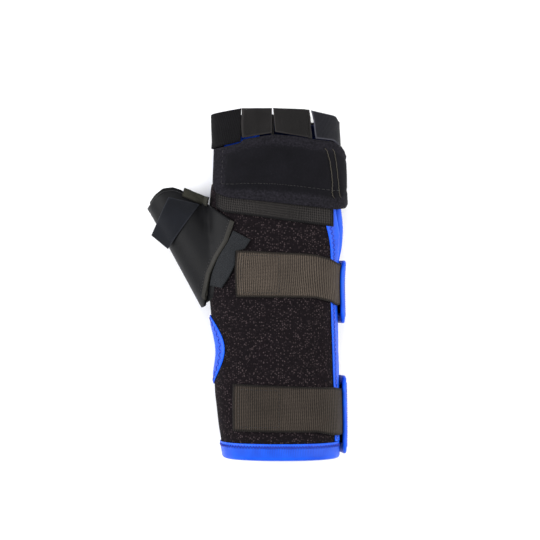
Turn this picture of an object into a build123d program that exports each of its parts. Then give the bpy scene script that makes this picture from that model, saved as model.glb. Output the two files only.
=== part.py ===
"""Wrist, hand and thumb splint, modelled empty in the shape it has when worn on a right hand.

A padded palmar trough with a rigid inner frame carries the forearm, palm and finger bases. A loop-faced
wrap, bound in lycra, goes from the trough's radial seam over the back of the wrist to a slot on the ulnar
side, which two elastic straps close. A knuckle pad, four finger straps, a thumb flap and a thumb strap
peel open on their own fold lines.

Frame, in millimetres: +X is ulnar, +Y distal (towards the fingertips), +Z dorsal (away from the palm).
The origin lies on the flat palmar face, below the wrist joint.
"""

import os
from math import atan2, cos, degrees, hypot, pi, radians, sin

from build123d import *

os.makedirs("parts", exist_ok=True)

# ---------------------------------------------------------------- driving dimensions
CUFF_Y = -97.0  # proximal edge of the laminates
WRAP_END_Y = 84.0  # distal edge of the wrap, under the knuckle pad
PAN_END_Y = 132.0  # distal edge of the finger pan
SQUARENESS = 2.35  # exponent of the limb's section: 2 is an ellipse

WRAP_T = 2.6  # loop fabric on foam
LINING_T = 0.8
COVER_T = 2.2  # palmar laminate
FRAME_T = 2.0  # moulded inner frame
LINER_T = 3.0  # palmar padding
BINDING_T = 0.7  # lycra tape
BINDING_W = 8.0  # how far the tape reaches in from an edge
GAP = 0.25  # between layers
STRAP_T = 1.4  # woven elastic

# Sections of the wrap's outer surface: y, radial reach, ulnar reach, bottom z, top z
SECTIONS = [
    (-98.0, 36.5, 39.5, 3.4, 59.0),
    (-80.0, 39.5, 39.7, 3.4, 60.0),
    (-55.0, 42.5, 39.4, 3.4, 59.0),
    (-26.0, 43.5, 38.8, 3.4, 57.0),
    (0.0, 45.5, 38.4, 3.4, 55.0),
    (25.0, 46.6, 38.4, 4.6, 53.2),
    (50.0, 46.5, 39.2, 8.2, 50.6),
    (75.0, 46.0, 39.6, 10.4, 47.0),
    (95.0, 43.6, 39.4, 8.4, 42.0),
    (112.0, 42.6, 39.0, 4.6, 36.0),
    (124.0, 42.9, 38.5, 3.5, 32.6),
    (134.0, 43.2, 38.0, 3.5, 30.0),
]


# ---------------------------------------------------------------- the limb's form
def section_at(y):
    """Radial reach, ulnar reach, bottom and top of the wrap at any y, on a smooth curve through SECTIONS."""
    rows = SECTIONS
    i = max(1, next((k for k, row in enumerate(rows) if row[0] >= y), len(rows) - 1))
    before, low, high, after = rows[max(i - 2, 0)], rows[i - 1], rows[i], rows[min(i + 1, len(rows) - 1)]
    span = high[0] - low[0]
    t = (y - low[0]) / span
    found = []
    for k in range(1, 5):
        slope_low = (high[k] - before[k]) / (high[0] - before[0]) * span
        slope_high = (after[k] - low[k]) / (after[0] - low[0]) * span
        found.append(
            (2 * t**3 - 3 * t**2 + 1) * low[k]
            + (t**3 - 2 * t**2 + t) * slope_low
            + (-2 * t**3 + 3 * t**2) * high[k]
            + (t**3 - t**2) * slope_high
        )
    return found


def limb_point(y, angle, offset=0.0):
    """(x, z) on the wrap's outer surface, angle degrees round from +X towards +Z, offset outwards."""
    radial, ulnar, bottom, top = section_at(y)
    across = (radial + ulnar) / 2 + offset
    up = (top - bottom) / 2 + offset
    c, s = cos(radians(angle)), sin(radians(angle))
    r = ((abs(c) / across) ** SQUARENESS + (abs(s) / up) ** SQUARENESS) ** (-1 / SQUARENESS)
    return ((ulnar - radial) / 2 + r * c, (top + bottom) / 2 + r * s)


def steps(low, high, spacing):
    """Evenly spaced values from low to high, both included, about spacing apart."""
    count = max(2, round(abs(high - low) / spacing) + 1)
    return [low + (high - low) * i / (count - 1) for i in range(count)]


def stations(y_low, y_high):
    """The y of each section from y_low to y_high, shared by all shells so that their faces stay parallel."""
    inside = [y for y in range(-98, 140, 14) if y_low + 2 < y < y_high - 2]
    return [y_low, *inside, y_high] if inside else [y_low, (y_low + y_high) / 2, y_high]


def arc(y, start, end, offset):
    """Points along the limb's section from angle start to end, closer together near both ends."""
    span = abs(end - start)
    turn = 1 if end > start else -1
    if span < 30:
        count = max(5, round(span / 3.5) + 1)
        angles = [start + (end - start) * i / (count - 1) for i in range(count)]
    else:
        count = max(2, round((span - 14) / 11) + 1)
        middle = [start + turn * (7 + (span - 14) * i / (count - 1)) for i in range(count)]
        angles = [start, start + turn * 3, *middle, end - turn * 3, end]
    return [limb_point(y, angle, offset) for angle in angles]


def skin(y, start, end, offset):
    """A smooth edge along the limb's section from angle start to end."""
    Spline(*arc(y, start, end, offset))


def band_section(y, start, end, outer, inner):
    """One section of a shell that follows the limb from angle start to end, between two offsets."""
    with BuildSketch(Plane.XZ.offset(-y)) as section:
        with BuildLine():
            skin(y, start, end, outer)
            Line(limb_point(y, end, outer), limb_point(y, end, inner))
            skin(y, end, start, inner)
            Line(limb_point(y, start, inner), limb_point(y, start, outer))
        make_face()
    return section.sketch.face()


def band(y_low, y_high, start, end, outer, inner, mode=Mode.ADD):
    """A shell that follows the limb. start and end are angles, or functions of y."""
    sections = []
    for y in stations(y_low, y_high):
        first = start(y) if callable(start) else start
        last = end(y) if callable(end) else end
        sections.append(band_section(y, first, last, outer, inner))
    loft(sections, mode=mode)


def limb_core(y_low, y_high, offset, mode=Mode.ADD):
    """The whole space inside the limb's surface, at an offset."""
    sections = []
    for y in stations(y_low, y_high):
        ring = [limb_point(y, angle, offset) for angle in range(0, 360, 10)]
        with BuildSketch(Plane.XZ.offset(-y)) as section:
            with BuildLine():
                Spline(*ring, periodic=True)
            make_face()
        sections.append(section.sketch.face())
    loft(sections, mode=mode)


def ease(y, y_low, y_high):
    """0 before y_low, 1 after y_high, smooth between."""
    t = min(1.0, max(0.0, (y - y_low) / (y_high - y_low)))
    return t * t * (3 - 2 * t)


# ---------------------------------------------------------------- edges of the wrap and the trough
def wrap_edge(y):
    """Angle of the wrap's free edge on the ulnar side."""
    return 9.0 + 14.0 * ease(y, 28, 62)


def radial_seam(y):
    """Angle at which the wrap is sewn to the trough on the thumb side."""
    return 225.0 - 28.0 * ease(y, 30, 78)


def trough_edge(y):
    """Angle of the trough's ulnar edge."""
    return 361.0 + 4.0 * ease(y, 28, 62)


def tape_angle(y, angle):
    """The angle that one width of binding covers on the limb at this place."""
    x, z = limb_point(y, angle)
    radial, ulnar, bottom, top = section_at(y)
    return degrees(BINDING_W / hypot(x - (ulnar - radial) / 2, z - (top + bottom) / 2))


TAPE_OUT = GAP + BINDING_T


def edge_tape(y_low, y_high, edge, turn, panel_in):
    """Tape folded over an edge along the limb. turn is +1 where the panel lies at larger angles."""
    slot_in = panel_in - GAP - 0.1
    tape_in = slot_in - BINDING_T
    sections = []
    for y in stations(y_low, y_high):
        lip = edge(y) - turn * 1.5
        slot = edge(y) - turn * 0.5
        far = edge(y) + turn * tape_angle(y, edge(y))
        corners = [(far, lip, TAPE_OUT), (lip, far, tape_in), (far, slot, slot_in), (slot, far, GAP)]
        with BuildSketch(Plane.XZ.offset(-y)) as section:
            with BuildLine():
                for i, (start, end, offset) in enumerate(corners):
                    following = corners[(i + 1) % 4]
                    skin(y, start, end, offset)
                    Line(limb_point(y, end, offset), limb_point(y, following[0], following[2]))
            make_face()
        sections.append(section.sketch.face())
    loft(sections)


WRAP_IN = -(WRAP_T + GAP + LINING_T)
TROUGH_IN = -(COVER_T + FRAME_T + LINER_T + 2 * GAP)

# Openings on the thumb side: centre y, centre z, half length, half height
STYLOID_HOLE = (-26.5, 29.0, 16.0, 12.5)
THUMB_HOLE = (38.0, 27.0, 27.0, 14.0)
SIDE_CUT = (-62.0, -20.0)  # x from and to, for cuts through the radial wall


def side_hole(hole, grow=0.0, mode=Mode.SUBTRACT):
    """An elliptical prism through the radial wall."""
    y, z, half_y, half_z = hole
    with BuildSketch(Plane.YZ.offset(SIDE_CUT[0])) as outline:
        with Locations((y, z)):
            Ellipse(half_y + grow, half_z + grow)
    extrude(outline.sketch, amount=SIDE_CUT[1] - SIDE_CUT[0], mode=mode)


def save(node, builder):
    """Labels a finished piece and writes its STEP file."""
    builder.part.label = node
    export_step(builder.part, f"parts/{node}.step")


# ---------------------------------------------------------------- palmar trough: cover, frame, liner
def pan_tip(mode=Mode.INTERSECT):
    """The trough's outline seen from above: square at the cuff, arched at the finger end."""
    with BuildSketch(Plane.XY.offset(-1)) as outline:
        with BuildLine():
            Polyline((-47, PAN_END_Y - 9), (-60, PAN_END_Y - 9), (-60, CUFF_Y), (60, CUFF_Y))
            Polyline((60, CUFF_Y), (60, PAN_END_Y - 12), (46, PAN_END_Y - 12))
            ThreePointArc((46, PAN_END_Y - 12), (5, PAN_END_Y), (-47, PAN_END_Y - 9))
        make_face()
    extrude(outline.sketch, amount=80, mode=mode)


with BuildPart() as palmar_cover:
    band(CUFF_Y, PAN_END_Y, radial_seam, trough_edge, 0, -COVER_T)
    pan_tip()
save("palmar_cover", palmar_cover)

FRAME_OUT = -(COVER_T + GAP)
with BuildPart() as palmar_frame:
    band(
        CUFF_Y + 12,
        PAN_END_Y - 16,
        lambda y: radial_seam(y) + 8,
        lambda y: trough_edge(y) - 14,
        FRAME_OUT,
        FRAME_OUT - FRAME_T,
    )
save("palmar_frame", palmar_frame)

LINER_OUT = FRAME_OUT - FRAME_T - GAP
with BuildPart() as palmar_liner:
    band(
        CUFF_Y,
        PAN_END_Y,
        lambda y: radial_seam(y) + 1,
        lambda y: trough_edge(y) - 1,
        LINER_OUT,
        LINER_OUT - LINER_T,
    )
    pan_tip()
save("palmar_liner", palmar_liner)

# ---------------------------------------------------------------- bound edges of the trough
with BuildPart() as palmar_cuff_binding:
    band(CUFF_Y - 1, CUFF_Y + BINDING_W, 226.5, 360, TAPE_OUT, TROUGH_IN - TAPE_OUT)
    band(CUFF_Y - GAP, CUFF_Y + BINDING_W + 2, 220, 366, GAP, TROUGH_IN - GAP, mode=Mode.SUBTRACT)
save("palmar_cuff_binding", palmar_cuff_binding)

with BuildPart() as palmar_ulnar_binding:
    edge_tape(CUFF_Y + BINDING_W + 1, PAN_END_Y - 22, trough_edge, -1, TROUGH_IN)
save("palmar_ulnar_binding", palmar_ulnar_binding)

with BuildPart() as palmar_radial_binding:
    edge_tape(WRAP_END_Y + 1.5, PAN_END_Y - 14, radial_seam, 1, TROUGH_IN)
save("palmar_radial_binding", palmar_radial_binding)

# ---------------------------------------------------------------- stay and its pocket under the palm
POCKET_T = 3.05
POCKET_W = 42.0
POCKET_END = (CUFF_Y + BINDING_W + 2, PAN_END_Y - 6)
STAY_T = 1.6
STAY_W = 25.0
STAY_INSET = 6.0
FLAT_END_Y = 6.0  # the pocket is flat from its proximal end to here


def sole(y):
    """Height of the pocket's lower face."""
    return max(0.0, section_at(y)[2] - 3.4)


def bent_strip(y_low, y_high, lift, thickness, width, mode=Mode.ADD):
    """A strip that follows the sole: flat under the forearm, arched under the palm."""
    arch = [(y, sole(y) + lift) for y in steps(FLAT_END_Y, y_high, 15)]
    arch[0] = (FLAT_END_Y, lift)
    with BuildSketch(Plane.YZ.offset(-width / 2)) as profile:
        with BuildLine():
            Line((y_low, lift), (FLAT_END_Y, lift))
            Spline(*arch, tangents=[(1, 0), (1, -0.02)])
            Line(arch[-1], (arch[-1][0], arch[-1][1] + thickness))
            Spline(*[(y, z + thickness) for y, z in reversed(arch)], tangents=[(-1, 0.02), (-1, 0)])
            Line((FLAT_END_Y, lift + thickness), (y_low, lift + thickness))
            Line((y_low, lift + thickness), (y_low, lift))
        make_face()
    extrude(profile.sketch, amount=width, mode=mode)


STAY_LIFT = (POCKET_T - STAY_T) / 2
with BuildPart() as stay_pocket:
    bent_strip(*POCKET_END, 0, POCKET_T, POCKET_W)
    fillet(stay_pocket.edges().filter_by(Axis.Z), 8)
    bent_strip(
        POCKET_END[0] - 1,
        POCKET_END[1] - STAY_INSET + 1,
        STAY_LIFT - GAP,
        STAY_T + 2 * GAP,
        STAY_W + 2,
        mode=Mode.SUBTRACT,
    )
save("stay_pocket", stay_pocket)

with BuildPart() as palmar_stay:
    bent_strip(POCKET_END[0] + STAY_INSET, POCKET_END[1] - STAY_INSET, STAY_LIFT, STAY_T, STAY_W)
    fillet(palmar_stay.edges().filter_by(Axis.Z), 10)
save("palmar_stay", palmar_stay)

# ---------------------------------------------------------------- dorsal wrap, lining and bindings
with BuildPart() as dorsal_wrap:
    band(CUFF_Y, WRAP_END_Y, wrap_edge, lambda y: radial_seam(y) - 1.5, 0, -WRAP_T)
    side_hole(STYLOID_HOLE)
    side_hole(THUMB_HOLE)
save("dorsal_wrap", dorsal_wrap)

with BuildPart() as dorsal_lining:
    band(
        CUFF_Y,
        WRAP_END_Y,
        lambda y: wrap_edge(y) + tape_angle(y, wrap_edge(y)) + 1,
        lambda y: radial_seam(y) - 1.8,
        -(WRAP_T + GAP),
        WRAP_IN + 0.15,
    )
    side_hole(STYLOID_HOLE, grow=0.2)
    side_hole(THUMB_HOLE, grow=0.2)
save("dorsal_lining", dorsal_lining)

with BuildPart() as cuff_binding:
    band(CUFF_Y - 1, CUFF_Y + BINDING_W + 1, 9, 222.5, TAPE_OUT, WRAP_IN - TAPE_OUT)
    band(CUFF_Y - GAP, CUFF_Y + BINDING_W + 3, 4, 230, GAP, WRAP_IN - GAP, mode=Mode.SUBTRACT)
save("cuff_binding", cuff_binding)

with BuildPart() as ulnar_binding:
    edge_tape(CUFF_Y + BINDING_W + 1.5, WRAP_END_Y, wrap_edge, 1, WRAP_IN)
save("ulnar_binding", ulnar_binding)

with BuildPart() as wall_at_styloid:
    band(STYLOID_HOLE[0] - 34, STYLOID_HOLE[0] + 34, 120, 228, GAP, WRAP_IN - GAP)
    side_hole(STYLOID_HOLE, grow=-0.25)

with BuildPart() as styloid_binding:
    band(STYLOID_HOLE[0] - 30, STYLOID_HOLE[0] + 30, 130, 221, TAPE_OUT, WRAP_IN - TAPE_OUT)
    side_hole(STYLOID_HOLE, grow=BINDING_W - 1, mode=Mode.INTERSECT)
    side_hole(STYLOID_HOLE, grow=-1)
    add(wall_at_styloid.part, mode=Mode.SUBTRACT)
save("styloid_binding", styloid_binding)


# ---------------------------------------------------------------- pieces cut to an outline seen from above
def angle_at(y, x, offset=0.0):
    """The angle, on the dorsal side, where the limb's section reaches x."""
    low, high = 2.0, 178.0
    for _ in range(40):
        middle = (low + high) / 2
        if limb_point(y, middle, offset)[0] > x:
            low = middle
        else:
            high = middle
    return (low + high) / 2


def plan_cut(points, mode=Mode.INTERSECT):
    """Keeps what lies inside a closed outline seen from above."""
    with BuildSketch(Plane.XY.offset(-10)) as outline:
        with BuildLine():
            Polyline(*points, close=True)
        make_face()
    extrude(outline.sketch, amount=100, mode=mode)


with BuildPart() as hand_strip:
    band(50, 84, lambda y: angle_at(y, 36.0), lambda y: angle_at(y, -41.6), TAPE_OUT + 1.35, TAPE_OUT + 0.15)
    plan_cut([(-60, 82), (-60, 80), (-41.6, 67.8), (-36, 64.4), (-17.8, 62), (9.2, 58.1), (50, 53.4), (50, 68), (9, 73)])
save("hand_strip", hand_strip)

# ---------------------------------------------------------------- straps: fixed roots, tabs over them, moving straps
STRAP_IN = TAPE_OUT + 0.35
STRAP_OUT = STRAP_IN + STRAP_T
TAB_IN = STRAP_OUT + 0.75
TAB_T = 1.75
TAB_TAPE_T = 0.5
TAB_OUT = TAB_IN + TAB_T
ROOT_FOOT = 346.0  # angle of the sewn foot of roots and tabs
PIVOT_RISE = 3.0  # of a strap's fold line above its tab


def angle_at_height(y, z, offset):
    """The angle, on the ulnar side, where the limb's section reaches height z."""
    low, high = -60.0, 88.0
    for _ in range(40):
        middle = (low + high) / 2
        if limb_point(y, middle, offset)[1] < z:
            low = middle
        else:
            high = middle
    return (low + high) / 2


def strap_root(y_low, y_high, top):
    """The fixed end of a strap, sewn between the trough and its tab."""
    band(
        y_low,
        y_high,
        ROOT_FOOT - 360,
        lambda y: angle_at_height(y, top, STRAP_OUT),
        STRAP_OUT,
        STRAP_IN,
    )


def tab_outline(y_low, y_high, top, grow, mode):
    """A tab's rounded outline seen from the ulnar side."""
    with BuildSketch(Plane.YZ.offset(20)) as outline:
        with Locations(((y_low + y_high) / 2, top - 12)):
            RectangleRounded(y_high - y_low + 2 * grow, 24 + 2 * grow, 7 + grow)
    extrude(outline.sketch, amount=50, mode=mode)


def tab_panel(y_low, y_high, top, grow):
    """A tab, or the slot it leaves in its tape where grow is more than 0."""
    band(y_low - 4, y_high + 4, -35, 45, TAB_OUT + grow * 0.4, TAB_IN - grow * 0.4)
    tab_outline(y_low, y_high, top, grow, Mode.INTERSECT)


def tab_tape(y_low, y_high, top, slot):
    """Tape folded over the rim of a tab."""
    band(y_low - 6, y_high + 6, -38, 48, TAB_OUT + 0.1 + TAB_TAPE_T, TAB_IN - 0.1 - TAB_TAPE_T)
    tab_outline(y_low, y_high, top, 0.9, Mode.INTERSECT)
    tab_outline(y_low, y_high, top, -5.5, Mode.SUBTRACT)
    add(slot, mode=Mode.SUBTRACT)


WRIST_TAB = (-8.0, 31.5, 34.5)  # y from and to, top z
FOREARM_TAB = (-95.0, -45.5, 35.5)

with BuildPart() as wrist_tab:
    tab_panel(*WRIST_TAB, 0)
save("wrist_tab", wrist_tab)

with BuildPart() as wrist_tab_slot:
    tab_panel(*WRIST_TAB, 0.25)

with BuildPart() as wrist_tab_binding:
    tab_tape(*WRIST_TAB, wrist_tab_slot.part)
save("wrist_tab_binding", wrist_tab_binding)

with BuildPart() as forearm_tab:
    tab_panel(*FOREARM_TAB, 0)
save("forearm_tab", forearm_tab)

with BuildPart() as forearm_tab_slot:
    tab_panel(*FOREARM_TAB, 0.25)

with BuildPart() as forearm_tab_binding:
    tab_tape(*FOREARM_TAB, forearm_tab_slot.part)
save("forearm_tab_binding", forearm_tab_binding)

with BuildPart() as wrist_strap_root:
    strap_root(3.2, 30.4, WRIST_TAB[2] + PIVOT_RISE - 1.9)
save("wrist_strap_root", wrist_strap_root)

with BuildPart() as forearm_strap_root:
    strap_root(-82.6, -52.4, FOREARM_TAB[2] + PIVOT_RISE - 1.9)
save("forearm_strap_root", forearm_strap_root)

WRIST_OUTLINE = [(-27.7, 39.3), (-27.7, 8.6), (14, 8.3), (24, 7.9), (34, 5.3), (38.3, 2.6), (50, 1.8)]
WRIST_OUTLINE += [(50, 30.4), (39, 31), (33.7, 34), (24, 36.6), (14, 37.4)]
FOREARM_OUTLINE = [(-29.7, -47.9), (-29.7, -78.8), (25, -79.5), (40, -83.2), (55, -83.6)]
FOREARM_OUTLINE += [(55, -52.2), (41, -51.8), (36, -50.6), (0, -49.0)]

with BuildPart() as wrist_strap:
    band(
        -2,
        43,
        lambda y: angle_at_height(y, WRIST_TAB[2] + PIVOT_RISE, STRAP_OUT),
        lambda y: angle_at(y, -31, STRAP_OUT),
        STRAP_OUT,
        STRAP_IN,
    )
    plan_cut(WRIST_OUTLINE)
save("wrist_strap", wrist_strap)

with BuildPart() as forearm_strap:
    band(
        -87,
        -44,
        lambda y: angle_at_height(y, FOREARM_TAB[2] + PIVOT_RISE, STRAP_OUT),
        lambda y: angle_at(y, -33, STRAP_OUT),
        STRAP_OUT,
        STRAP_IN,
    )
    plan_cut(FOREARM_OUTLINE)
save("forearm_strap", forearm_strap)

with BuildPart() as wrist_strap_hook:
    band(5, 42, 60, lambda y: angle_at(y, -31), STRAP_IN - 0.15, 0.4)
    plan_cut([(-26.7, 38.3), (-26.7, 9.6), (2, 9.4), (2, 37.2)])
save("wrist_strap_hook", wrist_strap_hook)

with BuildPart() as forearm_strap_hook:
    band(-82, -45, 60, lambda y: angle_at(y, -33), STRAP_IN - 0.15, 0.4)
    plan_cut([(-28.7, -49.4), (-28.7, -77.8), (2, -78.1), (2, -50.2)])
save("forearm_strap_hook", forearm_strap_hook)

# ---------------------------------------------------------------- knuckle pad
PAD_IN = 2.8
PAD_T = 4.2
PAD_SKIN = 0.7
PAD_FOOT_Z = 17.0
PAD_OUTLINE = [(-43.3, 106.8), (-43.8, 84), (-42.8, 80), (-39.5, 76.6), (-34, 74), (-26, 73), (-5, 71)]
PAD_OUTLINE += [(18, 68.4), (38, 66.2), (43, 66.4), (46, 69.5), (60, 71), (60, 104), (44, 107), (36, 112)]
PAD_OUTLINE += [(22, 113.2), (10, 115.2), (-3, 116.2), (-12, 115), (-24, 112.8), (-25.5, 110.6), (-34, 108.6)]


def shrink(points, by):
    """An outline moved inwards all round, for pieces inside a closed cover."""
    found = []
    for i, (x, y) in enumerate(points):
        x0, y0 = points[i - 1]
        x1, y1 = points[(i + 1) % len(points)]
        along = atan2(y1 - y0, x1 - x0)
        found.append((x - by * sin(along), y + by * cos(along)))
    return found


def pad_layer(outer, inner, foot, tip, mode=Mode.ADD):
    """A layer of the knuckle pad, from the fold on the ulnar side over to the free edge."""
    band(
        62,
        119,
        lambda y: angle_at_height(y, foot, outer),
        lambda y: angle_at(y, tip, outer),
        outer,
        inner,
        mode=mode,
    )


PAD_OUT = PAD_IN + PAD_T
with BuildPart() as knuckle_pad_foam:
    pad_layer(PAD_OUT - PAD_SKIN - GAP, PAD_IN + PAD_SKIN + GAP, PAD_FOOT_Z + 1.2, -42)
    plan_cut(shrink(PAD_OUTLINE, 1.9))
save("knuckle_pad_foam", knuckle_pad_foam)

with BuildPart() as pad_room:
    pad_layer(PAD_OUT - PAD_SKIN, PAD_IN + PAD_SKIN, PAD_FOOT_Z + 0.9, -42.3)
    plan_cut(shrink(PAD_OUTLINE, 1.6))

with BuildPart() as knuckle_pad_cover:
    pad_layer(PAD_OUT, PAD_IN, PAD_FOOT_Z, -46)
    plan_cut(PAD_OUTLINE)
    add(pad_room.part, mode=Mode.SUBTRACT)
save("knuckle_pad_cover", knuckle_pad_cover)

# ---------------------------------------------------------------- finger straps and the webs between fingers
FINGER_IN = TAPE_OUT + 0.35
FINGER_T = 1.4
FINGER_OUT = FINGER_IN + FINGER_T
TOP_EDGE = 134.0


def finger_strap(outline, start, end):
    """One strap over a finger, cut to its outline."""
    band(104, 136, start, end, FINGER_OUT, FINGER_IN)
    plan_cut(outline)


def at_x(x):
    """An edge of a band at constant x."""
    return lambda y: angle_at(y, x, FINGER_OUT)


with BuildPart() as finger_strap_index:
    finger_strap([(-60, 107.8), (-44, 108.0), (-25.2, 111.9), (-25.0, 134.6), (-60, 129)], at_x(-25), 201)
save("finger_strap_index", finger_strap_index)

with BuildPart() as finger_strap_middle:
    finger_strap([(-24.2, 114.2), (-4.8, 117.4), (-4.6, 134.6), (-24.2, 134.6)], at_x(-4), at_x(-25))
save("finger_strap_middle", finger_strap_middle)

with BuildPart() as finger_strap_ring:
    finger_strap([(-2.4, 118.2), (20.2, 114.2), (19.6, 134.2), (-3.8, 134.4)], at_x(21), at_x(-5))
save("finger_strap_ring", finger_strap_ring)

with BuildPart() as finger_strap_little:
    finger_strap(
        [(24.2, 113.8), (36.5, 112.8), (44.6, 107.6), (60, 106), (60, 125), (37.5, 129.8), (20.8, 133)],
        lambda y: angle_at_height(y, 19.5, FINGER_OUT),
        at_x(20),
    )
save("finger_strap_little", finger_strap_little)

WEB_T = 2.0
for name, x, y_high in [("index", -24.6, 131), ("middle", -4.2, 131), ("ring", 20.5, 130)]:
    with BuildPart() as web:
        with BuildSketch(Plane.XY) as foot:
            with Locations((x, (116 + y_high) / 2)):
                RectangleRounded(WEB_T, y_high - 116, 0.9)
        extrude(foot.sketch, amount=60)
        limb_core(108, 136, 1.0, mode=Mode.INTERSECT)
        limb_core(108, 136, LINER_OUT - LINER_T - 0.2, mode=Mode.INTERSECT)
    save(f"{name}_web", web)

# ---------------------------------------------------------------- thumb sleeve, flap, hook tab and strap
RING = Vector(-75.7, 77.6, 21.0)  # centre of the thumb's exit
ROOT = Vector(-33.0, 14.0, 27.0)  # where the thumb's axis ends inside the hand
THUMB_LENGTH = 76.6
OUTWARD = Vector(-0.848, -0.530, 0)
TIPWARD = Vector(-0.530, 0.848, 0)
SLEEVE_T = 2.0
FLAP_IN = 0.85
FLAP_OUT = 2.6
THUMB_STRAP_IN = 3.0
THUMB_STRAP_OUT = 4.25


def thumb_plane(s):
    """The section plane s mm back from the thumb's exit; its axes point outwards and up."""
    centre = RING + (ROOT - RING) * (s / THUMB_LENGTH)
    return Plane(origin=centre, x_dir=OUTWARD, z_dir=TIPWARD)


def thumb_radii(s, grow):
    """Half width and half height of the sleeve at s."""
    t = s / THUMB_LENGTH
    return (13.0 + 7.0 * t + grow, 12.0 + 4.5 * t + grow)


def thumb_core(grow, mode=Mode.ADD, s_low=-4, s_high=THUMB_LENGTH):
    """The space inside the sleeve's surface, grown outwards."""
    sections = []
    for s in (s_low, s_high):
        with BuildSketch(thumb_plane(s)) as section:
            Ellipse(*thumb_radii(s, grow))
        sections.append(section.sketch.face())
    loft(sections, mode=mode)


RING_EDGE = [(-87.4, 71.2), (-83, 76.4), (-77.2, 80.8), (-70.6, 81.8), (-64.7, 79.8), (-52, 72)]

with BuildPart() as thumb_sleeve:
    thumb_core(0)
    thumb_core(-SLEEVE_T, mode=Mode.SUBTRACT, s_low=-8)
    limb_core(-26, 100, 0.3, mode=Mode.SUBTRACT)
    plan_cut([(-100, 60), *RING_EDGE, (-30, 66), (-20, 60), (-20, -30), (-100, -30)])
save("thumb_sleeve", thumb_sleeve)

FLAP_EDGE = [(-48.3, 9.5), (-45.2, 23.8), (-40.3, 34.5), (-33.7, 44.9), (-29.3, 58), (-48.6, 71.1)]
FLAP_END = [(-53, 72.0), (-64.7, 77.6), (-70.6, 79.6), (-77.2, 78.6), (-83, 74.2), (-86.2, 70.0)]


def dorsal_skin(outer, inner):
    """A layer that lies over both the thumb's sleeve and the back of the hand."""
    with BuildPart() as below:
        thumb_core(inner, s_low=-10)
        limb_core(-26, 100, inner)
    thumb_core(outer)
    limb_core(-26, 100, outer)
    add(below.part, mode=Mode.SUBTRACT)


def above_fold(mode=Mode.INTERSECT):
    """Keeps what lies above a sloping plane through the sleeve's widest line."""
    with BuildSketch(Plane(origin=RING, x_dir=TIPWARD, z_dir=OUTWARD * -1)) as side:
        with BuildLine():
            Polyline((20, 0.2), (-100, 9.4), (-100, 80), (20, 80), close=True)
        make_face()
    extrude(side.sketch, amount=90, both=True, mode=mode)


with BuildPart() as thumb_flap:
    dorsal_skin(FLAP_OUT, FLAP_IN)
    plan_cut([(-88.5, 66.6), (-51.0, -1.0), (-48.6, 2.0), (-48.6, 4.8), *FLAP_EDGE, *FLAP_END])
    above_fold()
save("thumb_flap", thumb_flap)

HOOK_TAB_EDGE = [(-28.9, 53.2), (-18.5, 46.2), (-22.4, 40.2), (-28.6, 40.2), (-28.6, 29.6), (-33, 21.1)]
HOOK_TAB_EDGE += [(-37.6, 14.5)]
with BuildPart() as thumb_hook_tab:
    dorsal_skin(FLAP_OUT - 0.2, FLAP_IN + 0.1)
    plan_cut([*HOOK_TAB_EDGE, (-45.6, 16.2), (-44.3, 23.8), (-40.0, 34.6), (-33.4, 45.0), (-30.6, 51.8)])
    above_fold()
save("thumb_hook_tab", thumb_hook_tab)


def thumb_strap_section(s):
    """The strap's section at s: over the sleeve, then straight out past it."""
    upper = []
    lower = []
    for grow, side in ((THUMB_STRAP_OUT, upper), (THUMB_STRAP_IN, lower)):
        a, b = thumb_radii(s, grow)
        for turn in (165, 145, 125, 105, 85, 65, 48, 36):
            side.append((a * cos(radians(turn)), b * sin(radians(turn))))
        end = side[-1]
        side.append((end[0] + 6, end[1] - 4.6))
        side.append((end[0] + 13, end[1] - 8.6))
    with BuildSketch(thumb_plane(s)) as section:
        with BuildLine():
            Spline(*upper)
            Line(upper[-1], lower[-1])
            Spline(*reversed(lower))
            Line(lower[0], upper[0])
        make_face()
    return section.sketch.face()


with BuildPart() as thumb_strap:
    loft([thumb_strap_section(s) for s in (-4, 18, 42)])
    plan_cut([(-73.3, 74.9), (-85.3, 49.6), (-73.9, 40.4), (-52.8, 70.0)])
save("thumb_strap", thumb_strap)
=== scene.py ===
import math

import bmesh
import bpy
import numpy as np
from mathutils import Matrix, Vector, noise


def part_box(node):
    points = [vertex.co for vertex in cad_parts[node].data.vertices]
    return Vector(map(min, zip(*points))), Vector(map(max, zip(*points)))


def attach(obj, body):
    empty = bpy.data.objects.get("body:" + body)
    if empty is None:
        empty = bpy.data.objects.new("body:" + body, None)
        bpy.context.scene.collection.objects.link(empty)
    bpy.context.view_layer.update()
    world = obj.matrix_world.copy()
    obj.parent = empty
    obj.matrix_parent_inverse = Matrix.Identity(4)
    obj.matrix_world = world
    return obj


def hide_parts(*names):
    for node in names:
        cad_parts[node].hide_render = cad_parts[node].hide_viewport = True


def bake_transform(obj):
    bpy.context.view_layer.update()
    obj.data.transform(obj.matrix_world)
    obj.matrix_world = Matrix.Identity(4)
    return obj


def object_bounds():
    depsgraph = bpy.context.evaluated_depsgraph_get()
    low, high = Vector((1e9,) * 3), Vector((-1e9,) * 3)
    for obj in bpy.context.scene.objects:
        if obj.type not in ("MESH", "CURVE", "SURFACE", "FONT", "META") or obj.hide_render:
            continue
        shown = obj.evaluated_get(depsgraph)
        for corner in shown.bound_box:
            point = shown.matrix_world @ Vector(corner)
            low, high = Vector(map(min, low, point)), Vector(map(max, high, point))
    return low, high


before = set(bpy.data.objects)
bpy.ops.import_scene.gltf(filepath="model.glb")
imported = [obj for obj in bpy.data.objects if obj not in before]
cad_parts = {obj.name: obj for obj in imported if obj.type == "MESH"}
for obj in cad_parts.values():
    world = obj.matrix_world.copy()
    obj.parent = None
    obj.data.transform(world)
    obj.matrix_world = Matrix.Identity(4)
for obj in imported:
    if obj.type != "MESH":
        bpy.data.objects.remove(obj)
cad_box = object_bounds()

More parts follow.
